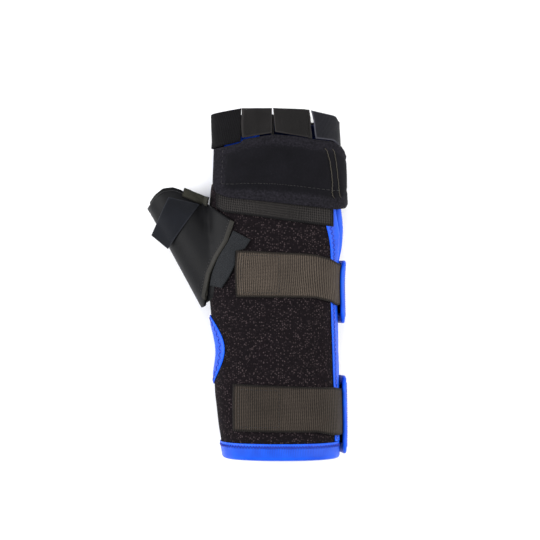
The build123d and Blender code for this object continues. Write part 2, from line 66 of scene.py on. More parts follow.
# ---------------------------------------------------------------- table, lights and camera
# The splint lies palm down on a white table top under two long soft boxes and a weak overhead one,
# and is seen from straight above with a long lens.

SCENE = bpy.context.scene
SCENE.view_settings.view_transform = "Standard"


def linear(hex_colour):
    """An sRGB hex colour as linear RGBA."""
    parts = [int(hex_colour[i : i + 2], 16) / 255 for i in (1, 3, 5)]
    return (*[p / 12.92 if p <= 0.04045 else ((p + 0.055) / 1.055) ** 2.4 for p in parts], 1.0)


def node(tree, kind, inputs=None, **settings):
    """Adds one node with its settings. An input takes a value, the socket that feeds it, or a node for that
    node's first output."""
    made = tree.nodes.new("ShaderNode" + kind)
    for key, value in settings.items():
        setattr(made, key, value)
    for key, value in (inputs or {}).items():
        if isinstance(value, bpy.types.Node):
            value = value.outputs[0]
        if isinstance(value, bpy.types.NodeSocket):
            tree.links.new(value, made.inputs[key])
        else:
            made.inputs[key].default_value = value
    return made


def new_material(name):
    """An empty node material and its tree."""
    material = bpy.data.materials.new(name)
    material.use_nodes = True
    material.node_tree.nodes.clear()
    return material, material.node_tree


# lacquered board: matt white, with a grain so fine that it only keeps the white from looking flat
table_paint, tree = new_material("white_lacquered_board")
grain = node(tree, "TexNoise", {"Scale": 40.0, "Detail": 3.0})
shade = node(tree, "Mix", {0: grain, 6: linear("#F6F6F7"), 7: linear("#FDFDFD")}, data_type="RGBA")
surface = node(tree, "BsdfPrincipled", {"Base Color": shade.outputs[2], "Roughness": 0.75})
node(tree, "OutputMaterial", {"Surface": surface})

bpy.ops.mesh.primitive_plane_add(size=6.0, location=(0, 0, cad_box[0].z - 0.0002))
table = bpy.context.object
table.name = "table"
table.data.materials.append(table_paint)

world = bpy.data.worlds.new("studio_air")
world.use_nodes = True
world.node_tree.nodes["Background"].inputs[0].default_value = linear("#F4F6FA")
world.node_tree.nodes["Background"].inputs[1].default_value = 0.8
SCENE.world = world

SOFT_BOXES = [  # name, place, watts, size across, size along, colour
    ("left_soft_box", (-0.75, 0.05, 0.55), 9.0, 0.35, 0.9, "#FFFFFF"),
    ("right_soft_box", (0.75, 0.0, 0.6), 7.5, 0.35, 0.9, "#FFFDF8"),
    ("top_soft_box", (0.05, 0.45, 1.3), 5.0, 0.7, 0.7, "#FFFFFF"),
]
for name, place, watts, across, along, colour in SOFT_BOXES:
    light = bpy.data.lights.new(name, "AREA")
    light.shape = "RECTANGLE"
    light.size = across
    light.size_y = along
    light.energy = watts
    light.color = linear(colour)[:3]
    lamp = bpy.data.objects.new(name, light)
    lamp.location = place
    lamp.rotation_euler = (Vector((0, 0.02, 0.03)) - Vector(place)).to_track_quat("-Z", "Y").to_euler()
    SCENE.collection.objects.link(lamp)

CAMERA_LENS = 116.8  # mm
CAMERA_PLACE = (-0.0059, 0.0264, 1.2)  # straight above the middle of the splint, in metres
camera_data = bpy.data.cameras.new("camera")
camera_data.lens = CAMERA_LENS
camera_data.sensor_width = 36.0
camera = bpy.data.objects.new("camera", camera_data)
camera.location = CAMERA_PLACE
SCENE.collection.objects.link(camera)
SCENE.camera = camera

# ---------------------------------------------------------------- stay and moulded frame
# A 1.6 mm aluminium stay, sheared from sheet and bent to the palm, and a thin moulded polypropylene
# frame that keeps the trough open. Both are sewn in and keep the shapes they were designed with.

stay_metal, tree = new_material("brushed_aluminium_sheet")
place = node(tree, "TexCoord")
# brush lines along the length, 0.4 mm apart
stretch = node(tree, "Mapping", {0: place.outputs["Object"], 3: (2500.0, 60.0, 2500.0)})
brushed = node(tree, "TexNoise", {"Vector": stretch, "Scale": 1.0, "Detail": 4.0})
rough = node(tree, "MapRange", {0: brushed, 3: 0.28, 4: 0.5})
scratch = node(tree, "Bump", {"Strength": 0.15, "Distance": 0.0001, "Height": brushed})
surface = node(
    tree,
    "BsdfPrincipled",
    {"Base Color": linear("#C9CBCE"), "Metallic": 1.0, "Roughness": rough, "Normal": scratch},
)
node(tree, "OutputMaterial", {"Surface": surface})

frame_plastic, tree = new_material("moulded_polypropylene")
place = node(tree, "TexCoord")
# spark-eroded mould texture, 0.5 mm
spark = node(tree, "TexNoise", {"Vector": place.outputs["Object"], "Scale": 2000.0, "Detail": 2.0})
pits = node(tree, "Bump", {"Strength": 0.3, "Distance": 0.0001, "Height": spark})
surface = node(
    tree,
    "BsdfPrincipled",
    {"Base Color": linear("#1A1A1C"), "Roughness": 0.55, "IOR": 1.49, "Normal": pits},
)
node(tree, "OutputMaterial", {"Surface": surface})

for cad_node, metal_or_plastic in (("palmar_stay", stay_metal), ("palmar_frame", frame_plastic)):
    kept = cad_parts[cad_node]
    kept.data.materials.clear()
    kept.data.materials.append(metal_or_plastic)

# ---------------------------------------------------------------- palmar trough
# A long trough under the forearm, palm and fingers: brushed loop fabric laminated to foam outside,
# a soft blue knit over padding inside, with the frame between them, sewn all round.

SQUARENESS = 2.35  # of the limb's section; 2 is an ellipse
SECTIONS = [  # y, radial reach, ulnar reach, bottom, top of the wrap's outer face, in mm
    (-98.0, 36.5, 39.5, 3.4, 59.0),
    (-80.0, 39.5, 39.7, 3.4, 60.0),
    (-55.0, 42.5, 39.4, 3.4, 59.0),
    (-26.0, 43.5, 38.8, 3.4, 57.0),
    (0.0, 45.5, 38.4, 3.4, 55.0),
    (25.0, 46.6, 38.4, 4.6, 53.2),
    (50.0, 46.5, 41.8, 8.2, 50.6),
    (75.0, 46.0, 39.9, 10.4, 47.0),
    (95.0, 43.6, 39.4, 8.4, 42.0),
    (112.0, 42.6, 39.0, 4.6, 36.0),
    (124.0, 42.9, 38.5, 3.5, 32.6),
    (134.0, 43.2, 38.0, 3.5, 30.0),
]


def section_table():
    """The limb's section every half millimetre, on a smooth curve through SECTIONS."""
    rows = np.array(SECTIONS)
    ys = np.arange(-100.0, 137.0, 0.5)
    found = np.zeros((len(ys), 4))
    for n, y in enumerate(ys):
        i = min(max(int(np.searchsorted(rows[:, 0], y)), 1), len(rows) - 1)
        before, low, high, after = rows[max(i - 2, 0)], rows[i - 1], rows[i], rows[min(i + 1, len(rows) - 1)]
        span = high[0] - low[0]
        t = min(max((y - low[0]) / span, -0.2), 1.2)
        slope_low = (high[1:] - before[1:]) / (high[0] - before[0]) * span
        slope_high = (after[1:] - low[1:]) / (after[0] - low[0]) * span
        found[n] = (
            (2 * t**3 - 3 * t**2 + 1) * low[1:]
            + (t**3 - 2 * t**2 + t) * slope_low
            + (-2 * t**3 + 3 * t**2) * high[1:]
            + (t**3 - t**2) * slope_high
        )
    return ys, found


TABLE_Y, TABLE = section_table()


def section(y):
    """Centre x and z, half width and half height of the limb at y."""
    radial, ulnar, bottom, top = (np.interp(y, TABLE_Y, TABLE[:, k]) for k in range(4))
    return (ulnar - radial) / 2, (top + bottom) / 2, (radial + ulnar) / 2, (top - bottom) / 2


def on_limb(y, angle, offset=0.0):
    """Points on the limb in mm, angle degrees round from +x towards +z, offset outwards."""
    y, angle, offset = np.broadcast_arrays(
        np.asarray(y, float), np.asarray(angle, float), np.asarray(offset, float)
    )
    cx, cz, a, b = section(y)
    a, b = a + offset, b + offset
    c, s = np.cos(np.radians(angle)), np.sin(np.radians(angle))
    r = ((np.abs(c) / a) ** SQUARENESS + (np.abs(s) / b) ** SQUARENESS) ** (-1 / SQUARENESS)
    return np.stack([cx + r * c, y, cz + r * s], axis=-1)


def ease(value, low, high):
    """0 below low, 1 above high, smooth between."""
    t = np.clip((np.asarray(value, float) - low) / (high - low), 0, 1)
    return t * t * (3 - 2 * t)


def wrap_edge(y):
    """Angle of the wrap's free edge on the ulnar side."""
    return 9.0 + 5.0 * ease(y, 28, 62)


def radial_seam(y):
    """Angle of the seam between wrap and trough on the thumb side."""
    return 225.0 - 28.0 * ease(y, 30, 78)


def trough_edge(y):
    """Angle of the trough's free edge on the ulnar side."""
    return 361.0 + 4.0 * ease(y, 28, 62)


def path(points, smooth=False):
    """A curve through points, as a function of 0 to 1 along its length."""
    points = np.array(points, float)
    if smooth:
        padded = np.vstack([2 * points[0] - points[1], points, 2 * points[-1] - points[-2]])
        fine = []
        for i in range(1, len(padded) - 2):
            p0, p1, p2, p3 = padded[i - 1 : i + 3]
            for t in np.linspace(0, 1, 12, endpoint=i == len(padded) - 3):
                fine.append(
                    0.5 * (
                        2 * p1
                        + (p2 - p0) * t
                        + (2 * p0 - 5 * p1 + 4 * p2 - p3) * t**2
                        + (3 * p1 - p0 - 3 * p2 + p3) * t**3
                    )
                )
        points = np.array(fine)
    scale = np.array([0.75, 1.0]) if points.shape[1] == 2 else np.ones(points.shape[1])
    far = np.concatenate([[0], np.cumsum(np.linalg.norm(np.diff(points * scale, axis=0), axis=1))])
    far /= far[-1]

    def at(t):
        return np.stack([np.interp(t, far, points[:, k]) for k in range(points.shape[1])], axis=-1)

    return at


def spread(length, cell, rim):
    """Places from 0 to 1 for grid lines a cell apart, with extra lines for the rounding of both rims."""
    near = [0.0, 0.12 * rim, 0.45 * rim, rim]
    count = max(3, int(round((length - 2 * rim) / cell)) + 1)
    middle = np.linspace(rim, length - rim, count)[1:-1]
    return np.concatenate([near, middle, [length - d for d in reversed(near)]]) / length


def blanket(low, high, start, end, cell, rim):
    """A grid between four edge curves that meet at their corners, and the distances along both ways in mm."""
    def span(curve, metric):
        line = curve(np.linspace(0, 1, 40))
        return np.sum(np.linalg.norm(np.diff(line * metric, axis=0), axis=1))

    metric = np.array([0.75, 1.0]) if low(np.array([0.0])).shape[-1] == 2 else np.ones(3)
    long_u = (span(low, metric) + span(high, metric)) / 2
    long_v = (span(start, metric) + span(end, metric)) / 2
    u = spread(long_u, cell[0], rim)
    v = spread(long_v, cell[1], rim)
    uu, vv = np.meshgrid(u, v)
    uu3, vv3 = uu[..., None], vv[..., None]
    corners = [low(np.array([0.0])), low(np.array([1.0])), high(np.array([0.0])), high(np.array([1.0]))]
    grid = (
        (1 - vv3) * low(u)[None]
        + vv3 * high(u)[None]
        + (1 - uu3) * start(v)[:, None]
        + uu3 * end(v)[:, None]
        - (1 - uu3) * (1 - vv3) * corners[0]
        - uu3 * (1 - vv3) * corners[1]
        - (1 - uu3) * vv3 * corners[2]
        - uu3 * vv3 * corners[3]
    )
    return grid, uu * long_u, vv * long_v, long_u, long_v


def normals_of(mid, axis_side):
    """Unit normals of a grid, turned to point away from the points axis_side."""
    du = np.gradient(mid, axis=1)
    dv = np.gradient(mid, axis=0)
    n = np.cross(du, dv)
    n /= np.maximum(np.linalg.norm(n, axis=-1, keepdims=True), 1e-9)
    if np.sum(n * (mid - axis_side)) < 0:
        n = -n
    return n


def mesh_piece(name, points, faces, material, weave=None, rim=None):
    """A Blender object from points in mm; weave holds each point's place on the cloth, rim its distance
    from the cloth's edge, both in mm."""
    mesh = bpy.data.meshes.new(name)
    mesh.from_pydata((np.asarray(points) * 0.001).tolist(), [], faces)
    if weave is not None:
        cloth = mesh.attributes.new("weave", "FLOAT_VECTOR", "POINT")
        cloth.data.foreach_set("vector", np.asarray(weave, np.float32).ravel())
    if rim is not None:
        edge = mesh.attributes.new("rim", "FLOAT", "POINT")
        edge.data.foreach_set("value", np.asarray(rim, np.float32).ravel())
    mesh.validate()
    mesh.update()
    mesh.polygons.foreach_set("use_smooth", [True] * len(mesh.polygons))
    mesh.materials.append(material)
    piece = bpy.data.objects.new(name, mesh)
    SCENE.collection.objects.link(piece)
    return piece


def spans(mid):
    """Mean lengths of a grid's lines in mm: the size the layer was cut to."""
    along_u = np.linalg.norm(np.diff(mid, axis=1), axis=-1).sum(axis=1).mean()
    along_v = np.linalg.norm(np.diff(mid, axis=0), axis=-1).sum(axis=0).mean()
    return along_u, along_v


def turn_outwards(piece, weld=None):
    """Makes every face of a closed mesh look outwards, after welding points nearer than weld metres."""
    facing = bmesh.new()
    facing.from_mesh(piece.data)
    if weld:
        bmesh.ops.remove_doubles(facing, verts=facing.verts, dist=weld)
    bmesh.ops.recalc_face_normals(facing, faces=facing.faces)
    facing.to_mesh(piece.data)
    facing.free()


def flat_cut(mid, gone=None):
    wide = np.linalg.norm(np.diff(mid, axis=1), axis=-1).sum(axis=1).max()
    tall = np.linalg.norm(np.diff(mid, axis=0), axis=-1).sum(axis=0).max()
    diagonals = np.cross(mid[1:, 1:] - mid[:-1, :-1], mid[1:, :-1] - mid[:-1, 1:])
    cells = np.linalg.norm(diagonals, axis=-1) / 2
    if gone is not None:
        cells = cells * ~gone
    return {"flat": (wide * 0.001, tall * 0.001), "area": float(cells.sum() * 1e-6)}


def fabric(name, mid, u, v, long_u, long_v, half, rim, material, relief=0.0, below=0.0, heart=None):
    """A closed layer of fabric about a grid of points: half is half its thickness, relief swells its outer
    face and below its inner face, and its rims are rounded."""
    if heart is None:
        cx, cz, _, _ = section(mid[..., 1])
        heart = np.stack([cx, mid[..., 1], cz], axis=-1)
    true_u, true_v = spans(mid)
    u, v, long_u, long_v = u * true_u / long_u, v * true_v / long_v, true_u, true_v
    n = normals_of(mid, heart)
    edge = np.minimum(np.minimum(u, long_u - u), np.minimum(v, long_v - v))
    round_off = np.sqrt(np.clip(1 - (1 - np.clip(edge / rim, 0, 1)) ** 2, 0, 1))[..., None]
    relief = np.broadcast_to(relief, u.shape)[..., None]
    below = np.broadcast_to(below, u.shape)[..., None]
    top = mid + n * (half + relief) * round_off
    under = mid - n * (half + below) * round_off
    rows, columns = u.shape
    index = np.arange(rows * columns).reshape(rows, columns)
    back = index.copy()
    inner = np.zeros_like(index, bool)
    inner[1:-1, 1:-1] = True
    back[inner] = rows * columns + np.arange(inner.sum())
    points = np.concatenate([top.reshape(-1, 3), under[inner]])
    cloth = np.stack([u, v, np.zeros_like(u)], axis=-1)
    cloth_under = cloth.copy()
    cloth_under[..., 2] = 1.0
    weave = np.concatenate([cloth.reshape(-1, 3), cloth_under[inner]])
    from_rim = np.concatenate([edge.ravel(), edge[inner]])
    faces = []
    flip = np.dot(np.cross(mid[1, 1] - mid[0, 0], mid[1, 0] - mid[0, 1]), n[0, 0]) < 0
    for r in range(rows - 1):
        for c in range(columns - 1):
            quad = [index[r, c], index[r, c + 1], index[r + 1, c + 1], index[r + 1, c]]
            rear = [back[r, c], back[r + 1, c], back[r + 1, c + 1], back[r, c + 1]]
            if flip:
                quad.reverse()
                rear.reverse()
            faces.append([int(k) for k in quad])
            faces.append([int(k) for k in rear])
    return mesh_piece(name, points, faces, material, weave, from_rim)


def fix(piece, body, slot, *cad_nodes):
    """The piece rides on a body and stands for its CAD nodes, which it hides; slot is not used."""
    if cad_nodes:
        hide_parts(*cad_nodes)
    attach(piece, body)
    return piece


def waviness(grid, size, seed):
    """Soft random swelling from -1 to 1, about size mm across."""
    flat = grid.reshape(-1, grid.shape[-1])
    out = [
        noise.noise(Vector((p[0] / size + seed, p[1] / size, (p[2] if len(p) > 2 else 0) / size)))
        for p in flat
    ]
    return np.array(out).reshape(grid.shape[:-1])


# brushed nylon loop on foam: matt black pile with paler fibre tips 1.4 mm apart
loop_cloth, tree = new_material("brushed_nylon_loop_laminate")
place = node(tree, "TexCoord")
tips = node(tree, "TexVoronoi", {"Vector": place.outputs["Object"], "Scale": 1000 / 1.25, "Randomness": 1.0})
lit = node(tree, "MapRange", {0: tips.outputs["Distance"], 1: 0.1, 2: 0.5, 3: 1.0, 4: 0.0})
chance = node(tree, "SeparateColor", {0: tips.outputs["Color"]})
picked = node(tree, "MapRange", {0: chance, 1: 0.3, 2: 1.0})
speck = node(tree, "Math", {0: lit, 1: picked}, operation="MULTIPLY")
matted = node(
    tree,
    "TexNoise",
    {"Vector": place.outputs["Object"], "Scale": 1000 / 3.0, "Detail": 5.0, "Roughness": 0.7},
)
pile = node(
    tree,
    "Mix",
    {0: matted, 6: linear("#050405"), 7: linear("#181316")},
    data_type="RGBA",
)
colour = node(
    tree, "Mix", {0: speck, 6: pile.outputs[2], 7: linear("#4E4345")}, data_type="RGBA"
)
height = node(tree, "Math", {0: matted, 1: speck}, operation="ADD")
nap = node(tree, "Bump", {"Strength": 0.9, "Distance": 0.0006, "Height": height})
surface = node(
    tree,
    "BsdfPrincipled",
    {
        "Base Color": colour.outputs[2],
        "Roughness": 0.95,
        "Specular IOR Level": 0.06,
        "Sheen Weight": 0.02,
        "Sheen Roughness": 0.5,
        "Sheen Tint": linear("#8A8088"),
        "Normal": nap,
    },
)
node(tree, "OutputMaterial", {"Surface": surface})

# blue polyester knit over padding: fine wales 0.9 mm apart; its colour is painted shade, the dark navy that
# the blue knit shows in shadow, mottled at random
lining_knit, tree = new_material("brushed_polyester_lining_knit")
cloth = node(tree, "Attribute", attribute_name="weave")
place = node(tree, "TexCoord")
split = node(tree, "SeparateXYZ", {0: cloth.outputs["Vector"]})
wale = node(tree, "Math", {0: split, 1: 2 * math.pi / 1.2}, operation="MULTIPLY")
wales = node(tree, "Math", {0: wale}, operation="SINE")
course = node(tree, "Math", {0: split.outputs[1], 1: 2 * math.pi / 1.0}, operation="MULTIPLY")
courses = node(tree, "Math", {0: course}, operation="SINE")
loops = node(tree, "Math", {0: wales, 1: courses}, operation="MULTIPLY")
shaded_navy_mottle = node(tree, "TexNoise", {"Vector": place.outputs["Object"], "Scale": 60.0, "Detail": 4.0})
# painted shade: both navies are the blue knit as it looks in shadow
colour = node(
    tree, "Mix", {0: shaded_navy_mottle, 6: linear("#01061C"), 7: linear("#02103E")}, data_type="RGBA"
)
knit = node(tree, "Bump", {"Strength": 0.5, "Distance": 0.0002, "Height": loops})
surface = node(
    tree,
    "BsdfPrincipled",
    {
        "Base Color": colour.outputs[2],
        "Roughness": 0.8,
        "Specular IOR Level": 0.1,
        "Sheen Weight": 0.02,
        "Sheen Roughness": 0.4,
        "Normal": knit,
    },
)
node(tree, "OutputMaterial", {"Surface": surface})

CUFF_Y = -97.0
PAN_END = path([(0, 122.5), (40, 130.0), (85, 132.0), (130, 129.5), (176, 121.0)], smooth=True)


def trough_grid(offset, start_inset, end_inset, cell, rim):
    """The grid of one layer of the trough, from the radial edge round below to the ulnar edge."""
    ys = np.linspace(CUFF_Y, 122.5, 60)
    start = path([(radial_seam(y) + start_inset, y) for y in ys])
    ys = np.linspace(CUFF_Y, 121.0, 60)
    end = path([(trough_edge(y) - end_inset, y) for y in ys])
    a0, a1 = radial_seam(CUFF_Y) + start_inset, trough_edge(CUFF_Y) - end_inset
    b0, b1 = radial_seam(122.5) + start_inset, trough_edge(121.0) - end_inset
    low = path([(a0, CUFF_Y), (a1, CUFF_Y)])
    arch = PAN_END(np.linspace(0, 1, 30))
    high = path([(b0 + (b1 - b0) * t, y) for t, y in zip(np.linspace(0, 1, 30), arch[:, 1])])
    grid, u, v, long_u, long_v = blanket(low, high, start, end, cell, rim)
    mid = on_limb(grid[..., 1], grid[..., 0], offset)
    return mid, u, v, long_u, long_v


COVER_T, FRAME_T, LINER_T = 2.2, 2.0, 3.0
TROUGH_IN = -(COVER_T + FRAME_T + LINER_T + 0.5)

mid, u, v, long_u, long_v = trough_grid(-COVER_T / 2, 0, 0, (3.2, 3.2), 1.1)
swell = 0.18 * waviness(mid, 16, 3.0)
cover = fabric("trough_cover", mid, u, v, long_u, long_v, COVER_T / 2 - 0.1, 1.1, loop_cloth, relief=swell)
fix(cover, "brace", "loop_laminate", "palmar_cover")

mid, u, v, long_u, long_v = trough_grid(TROUGH_IN + LINER_T / 2, 1, 1, (2.4, 2.4), 1.5)
# the padding is quilted to the frame along lines 24 mm apart across the trough
quilt = 0.55 * np.abs(np.sin(math.pi * (v + 8) / 24)) ** 0.6 - 0.35
puff = quilt * ease(np.minimum(u, long_u - u), 4, 12) + 0.15 * waviness(mid, 9, 8.0)
padding = fabric(
    "trough_padding", mid, u, v, long_u, long_v, LINER_T / 2 - 0.2, 1.5, lining_knit, below=puff
)
fix(padding, "brace", "lining", "palmar_liner")

# ---------------------------------------------------------------- pocket for the stay
# A flat pocket of woven nylon pack cloth, sewn to the cover with a double row of stitches. It is what
# the splint rests on.

# woven nylon pack cloth: plain weave, yarns 0.9 mm apart
pack_cloth, tree = new_material("woven_nylon_pack_cloth")
cloth = node(tree, "Attribute", attribute_name="weave")
place = node(tree, "TexCoord")
checks = node(tree, "TexChecker", {"Vector": cloth.outputs["Vector"], "Scale": 1 / 0.9})
dust = node(tree, "TexNoise", {"Vector": place.outputs["Object"], "Scale": 90.0, "Detail": 6.0})
tone = node(tree, "Mix", {0: dust, 6: linear("#0A0A0C"), 7: linear("#18181B")}, data_type="RGBA")
colour = node(
    tree, "Mix", {0: checks.outputs[1], 6: tone.outputs[2], 7: linear("#101012")}, data_type="RGBA"
)
weft = node(tree, "Bump", {"Strength": 0.4, "Distance": 0.0002, "Height": checks.outputs[1]})
surface = node(
    tree, "BsdfPrincipled", {"Base Color": colour.outputs[2], "Roughness": 0.62, "Normal": weft}
)
node(tree, "OutputMaterial", {"Surface": surface})

# bonded nylon sewing thread, drawn 0.5 mm thick so that it shows
black_thread, tree = new_material("bonded_nylon_thread_black")
place = node(tree, "TexCoord")
twist = node(tree, "TexNoise", {"Vector": place.outputs["Object"], "Scale": 2500.0})
ply = node(tree, "Bump", {"Strength": 0.3, "Distance": 0.0001, "Height": twist})
surface = node(tree, "BsdfPrincipled", {"Base Color": linear("#0B0A0B"), "Roughness": 0.45, "Normal": ply})
node(tree, "OutputMaterial", {"Surface": surface})


def tubes(name, lines, radius, material, sides=6):
    """Closed round tubes along lines of points in mm, as one mesh."""
    points, faces = [], []
    for line in lines:
        line = np.asarray(line, float)
        along = np.gradient(line, axis=0)
        along /= np.maximum(np.linalg.norm(along, axis=1, keepdims=True), 1e-9)
        cx, cz, _, _ = section(line[:, 1])
        up = line - np.stack([cx, line[:, 1], cz], axis=-1)
        up -= along * np.sum(up * along, axis=1, keepdims=True)
        up /= np.maximum(np.linalg.norm(up, axis=1, keepdims=True), 1e-9)
        side = np.cross(along, up)
        base = len(points)
        for k in range(len(line)):
            squeeze = 0.45 if k in (0, len(line) - 1) else 1.0
            for j in range(sides):
                turn = 2 * math.pi * j / sides
                points.append(
                    line[k] + radius * squeeze * (math.cos(turn) * up[k] + math.sin(turn) * side[k])
                )
        for k in range(len(line) - 1):
            for j in range(sides):
                a, b = base + k * sides + j, base + k * sides + (j + 1) % sides
                faces.append([a, b, b + sides, a + sides])
        faces.append([base + j for j in reversed(range(sides))])
        faces.append([base + (len(line) - 1) * sides + j for j in range(sides)])
    return mesh_piece(name, points, faces, material)


def dashes(curve, length, stitch=2.4, gap=0.9, dip=0.25):
    """Lock stitches along a curve: short lines whose ends dip into the cloth."""
    count = int(length / (stitch + gap))
    lines = []
    for k in range(count):
        ts = (k + np.array([0.0, 0.12, 0.5, 0.88, 1.0]) * stitch / (stitch + gap)) / count
        lines.append((ts, np.array([-dip, 0.0, 0.06, 0.0, -dip])))
    return [curve(ts, lift) for ts, lift in lines]


def sole(y):
    """Height of the pocket's lower face."""
    return np.maximum(0.0, np.interp(y, TABLE_Y, TABLE[:, 2]) - 3.4) * ease(y, 4, 9)


POCKET_HALF_W, POCKET_LOW, POCKET_HIGH, POCKET_T = 21.0, -87.0, 126.0, 3.05
low = path([(-POCKET_HALF_W, POCKET_LOW, 0), (POCKET_HALF_W, POCKET_LOW, 0)])
high = path([(-POCKET_HALF_W, POCKET_HIGH, 0), (POCKET_HALF_W, POCKET_HIGH, 0)])
start = path([(-POCKET_HALF_W, POCKET_LOW, 0), (-POCKET_HALF_W, POCKET_HIGH, 0)])
end = path([(POCKET_HALF_W, POCKET_LOW, 0), (POCKET_HALF_W, POCKET_HIGH, 0)])
grid, u, v, long_u, long_v = blanket(low, high, start, end, (1.6, 2.2), 1.5)
mid = grid.copy()
corner = np.maximum(0, np.abs(mid[..., 0]) - 13) / 8
mid[..., 1] += np.where(v < long_v / 2, 1, -1) * 3.2 * corner**2 * (
    1 - ease(np.minimum(v, long_v - v), 0, 14)
)
mid[..., 2] = sole(mid[..., 1]) + POCKET_T / 2
rim_dip = -0.35 * (1 - ease(np.minimum(np.minimum(u, long_u - u), np.minimum(v, long_v - v)), 1.5, 5.5))
heart = mid + np.array([0, 0, 30.0])
pocket = fabric(
    "stay_pocket_cloth", mid, u, v, long_u, long_v, POCKET_T / 2, 1.5, pack_cloth, relief=rim_dip, heart=heart
)
fix(pocket, "brace", "pocket_fabric", "stay_pocket")

rows = []
for inset in (2.6, 5.2):
    half_w = POCKET_HALF_W - inset
    y_low, y_high = POCKET_LOW + inset + 2, POCKET_HIGH - inset - 2
    rim = [(-half_w, y_low), (half_w, y_low), (half_w, y_high), (-half_w, y_high), (-half_w, y_low)]
    ring = path(rim)

    def under_pocket(ts, lift, ring=ring):
        xy = ring(ts)
        return np.stack([xy[:, 0], xy[:, 1], sole(xy[:, 1]) + 0.25 - lift], axis=-1)

    rows += dashes(under_pocket, 2 * (2 * half_w + 205), stitch=3.4, gap=1.4)
pocket_seam = tubes("stay_pocket_seam", rows, 0.22, black_thread)
pocket_seam.parent = pocket

# ---------------------------------------------------------------- bound edges of the trough
# Stretch lycra tape folded over the trough's cut edges and caught with one run of zigzag stitch. Three
# stretches of it: across the cuff, along the ulnar side, and a short one at the index finger.

# satin lycra: saturated blue with a fine knit, with painted shade that turns it navy in the hollows
lycra, tree = new_material("satin_lycra_tape_blue")
cloth = node(tree, "Attribute", attribute_name="weave")
place = node(tree, "TexCoord")
split = node(tree, "SeparateXYZ", {0: cloth.outputs["Vector"]})
# courses of the knit, 0.7 mm apart
course = node(tree, "Math", {0: split, 1: 2 * math.pi / 0.7}, operation="MULTIPLY")
courses = node(tree, "Math", {0: course}, operation="SINE")
patch = node(tree, "TexNoise", {"Vector": place.outputs["Object"], "Scale": 120.0, "Detail": 3.0})
# painted shade: the concave places, found by pointiness, are mixed towards navy
hollow = node(tree, "NewGeometry")
dip = node(tree, "MapRange", {0: hollow.outputs["Pointiness"], 1: 0.42, 2: 0.56})
blue = node(tree, "Mix", {0: patch, 6: linear("#003CC0"), 7: linear("#0062F4")}, data_type="RGBA")
colour = node(tree, "Mix", {0: dip, 6: linear("#001464"), 7: blue.outputs[2]}, data_type="RGBA")
knit = node(tree, "Bump", {"Strength": 0.25, "Distance": 0.0001, "Height": courses})
surface = node(
    tree,
    "BsdfPrincipled",
    {
        "Base Color": colour.outputs[2],
        "Roughness": 0.42,
        "Specular IOR Level": 0.25,
        "Sheen Weight": 0.03,
        "Sheen Roughness": 0.3,
        "Sheen Tint": linear("#4AA8FF"),
        "Normal": knit,
    },
)
node(tree, "OutputMaterial", {"Surface": surface})


def thread(name, dark, light):
    """Polyester sewing thread, its twist seen as a fine change of tone."""
    material, tree = new_material(name)
    place = node(tree, "TexCoord")
    twist = node(tree, "TexNoise", {"Vector": place.outputs["Object"], "Scale": 2200.0})
    shade = node(tree, "Mix", {0: twist, 6: linear(dark), 7: linear(light)}, data_type="RGBA")
    surface = node(tree, "BsdfPrincipled", {"Base Color": shade.outputs[2], "Roughness": 0.5})
    node(tree, "OutputMaterial", {"Surface": surface})
    return material


# textured polyester overlock thread in the tape's own blue
blue_thread = thread("textured_polyester_thread_blue", "#000A60", "#0026B0")

GAP, TAPE_T = 0.25, 0.7
TAPE_OUT = GAP + TAPE_T


def tape(name, where, length, width, panel_in, closed=False, out=TAPE_OUT, outside=0.0, seed=1.0):
    """Tape folded over an edge. where gives points in mm for places along the edge from 0 to 1, distances
    in from the edge, and offsets; the panel's faces lie at the offsets outside and panel_in."""
    gap = out - TAPE_T if out > TAPE_T else 0.1
    top, low = outside + out, panel_in - out
    fold = (top + low) / 2
    profile = [(width, outside + gap), (width, top - 0.3), (width - 0.3, top), (width - 2.0, top)]
    profile += [(width * 0.5, top), (1.6, top + 0.05), (0.2, top), (-0.7, top - 0.45)]
    profile += [(-1.15, (top + fold) / 2), (-1.25, fold)]
    profile += [(-1.15, (low + fold) / 2), (-0.7, low + 0.45), (0.2, low), (width * 0.5, low)]
    profile += [(width, low + 0.15), (width, panel_in - gap), (0.3, panel_in - gap), (0.3, outside + gap)]
    profile = np.array(profile)
    count = max(8, int(length / 1.3))
    s = np.linspace(0, 1, count, endpoint=not closed)
    ss, dd = np.meshgrid(s, profile[:, 0], indexing="ij")
    hh = np.meshgrid(s, profile[:, 1], indexing="ij")[1].copy()
    # the stitches pull the tape in every 2.6 mm along a line 2 mm from its inner edge
    line = np.exp(-(((dd - (width - 2.2)) / 1.1) ** 2)) * (hh > fold)
    hh -= line * (0.16 + 0.14 * np.sin(ss * length * 2 * math.pi / 2.6))
    places = [Vector((k * length / count / 11.0, seed, 0.0)) for k in range(count)]
    loose = np.array([noise.noise(place) for place in places])[:, None]
    hh += 0.22 * loose * (hh > fold) * (dd < width - 3) * (hh > outside + gap + 0.1)
    points = where(ss, dd, hh)
    sides = len(profile)
    index = np.arange(count * sides).reshape(count, sides)
    faces = []
    for k in range(count if closed else count - 1):
        for j in range(sides):
            a, b = index[k, j], index[k, (j + 1) % sides]
            c, d = index[(k + 1) % count, (j + 1) % sides], index[(k + 1) % count, j]
            faces.append([int(a), int(b), int(c), int(d)])
    if not closed:
        faces.append([int(j) for j in reversed(index[0])])
        faces.append([int(j) for j in index[-1]])
    around = np.concatenate([[0], np.cumsum(np.linalg.norm(np.diff(profile, axis=0), axis=1))])
    weave = np.stack([ss * length, np.broadcast_to(around, ss.shape), 0 * ss], axis=-1)
    piece = mesh_piece(name, points.reshape(-1, 3), faces, lycra, weave.reshape(-1, 3))
    turn_outwards(piece)
    return piece


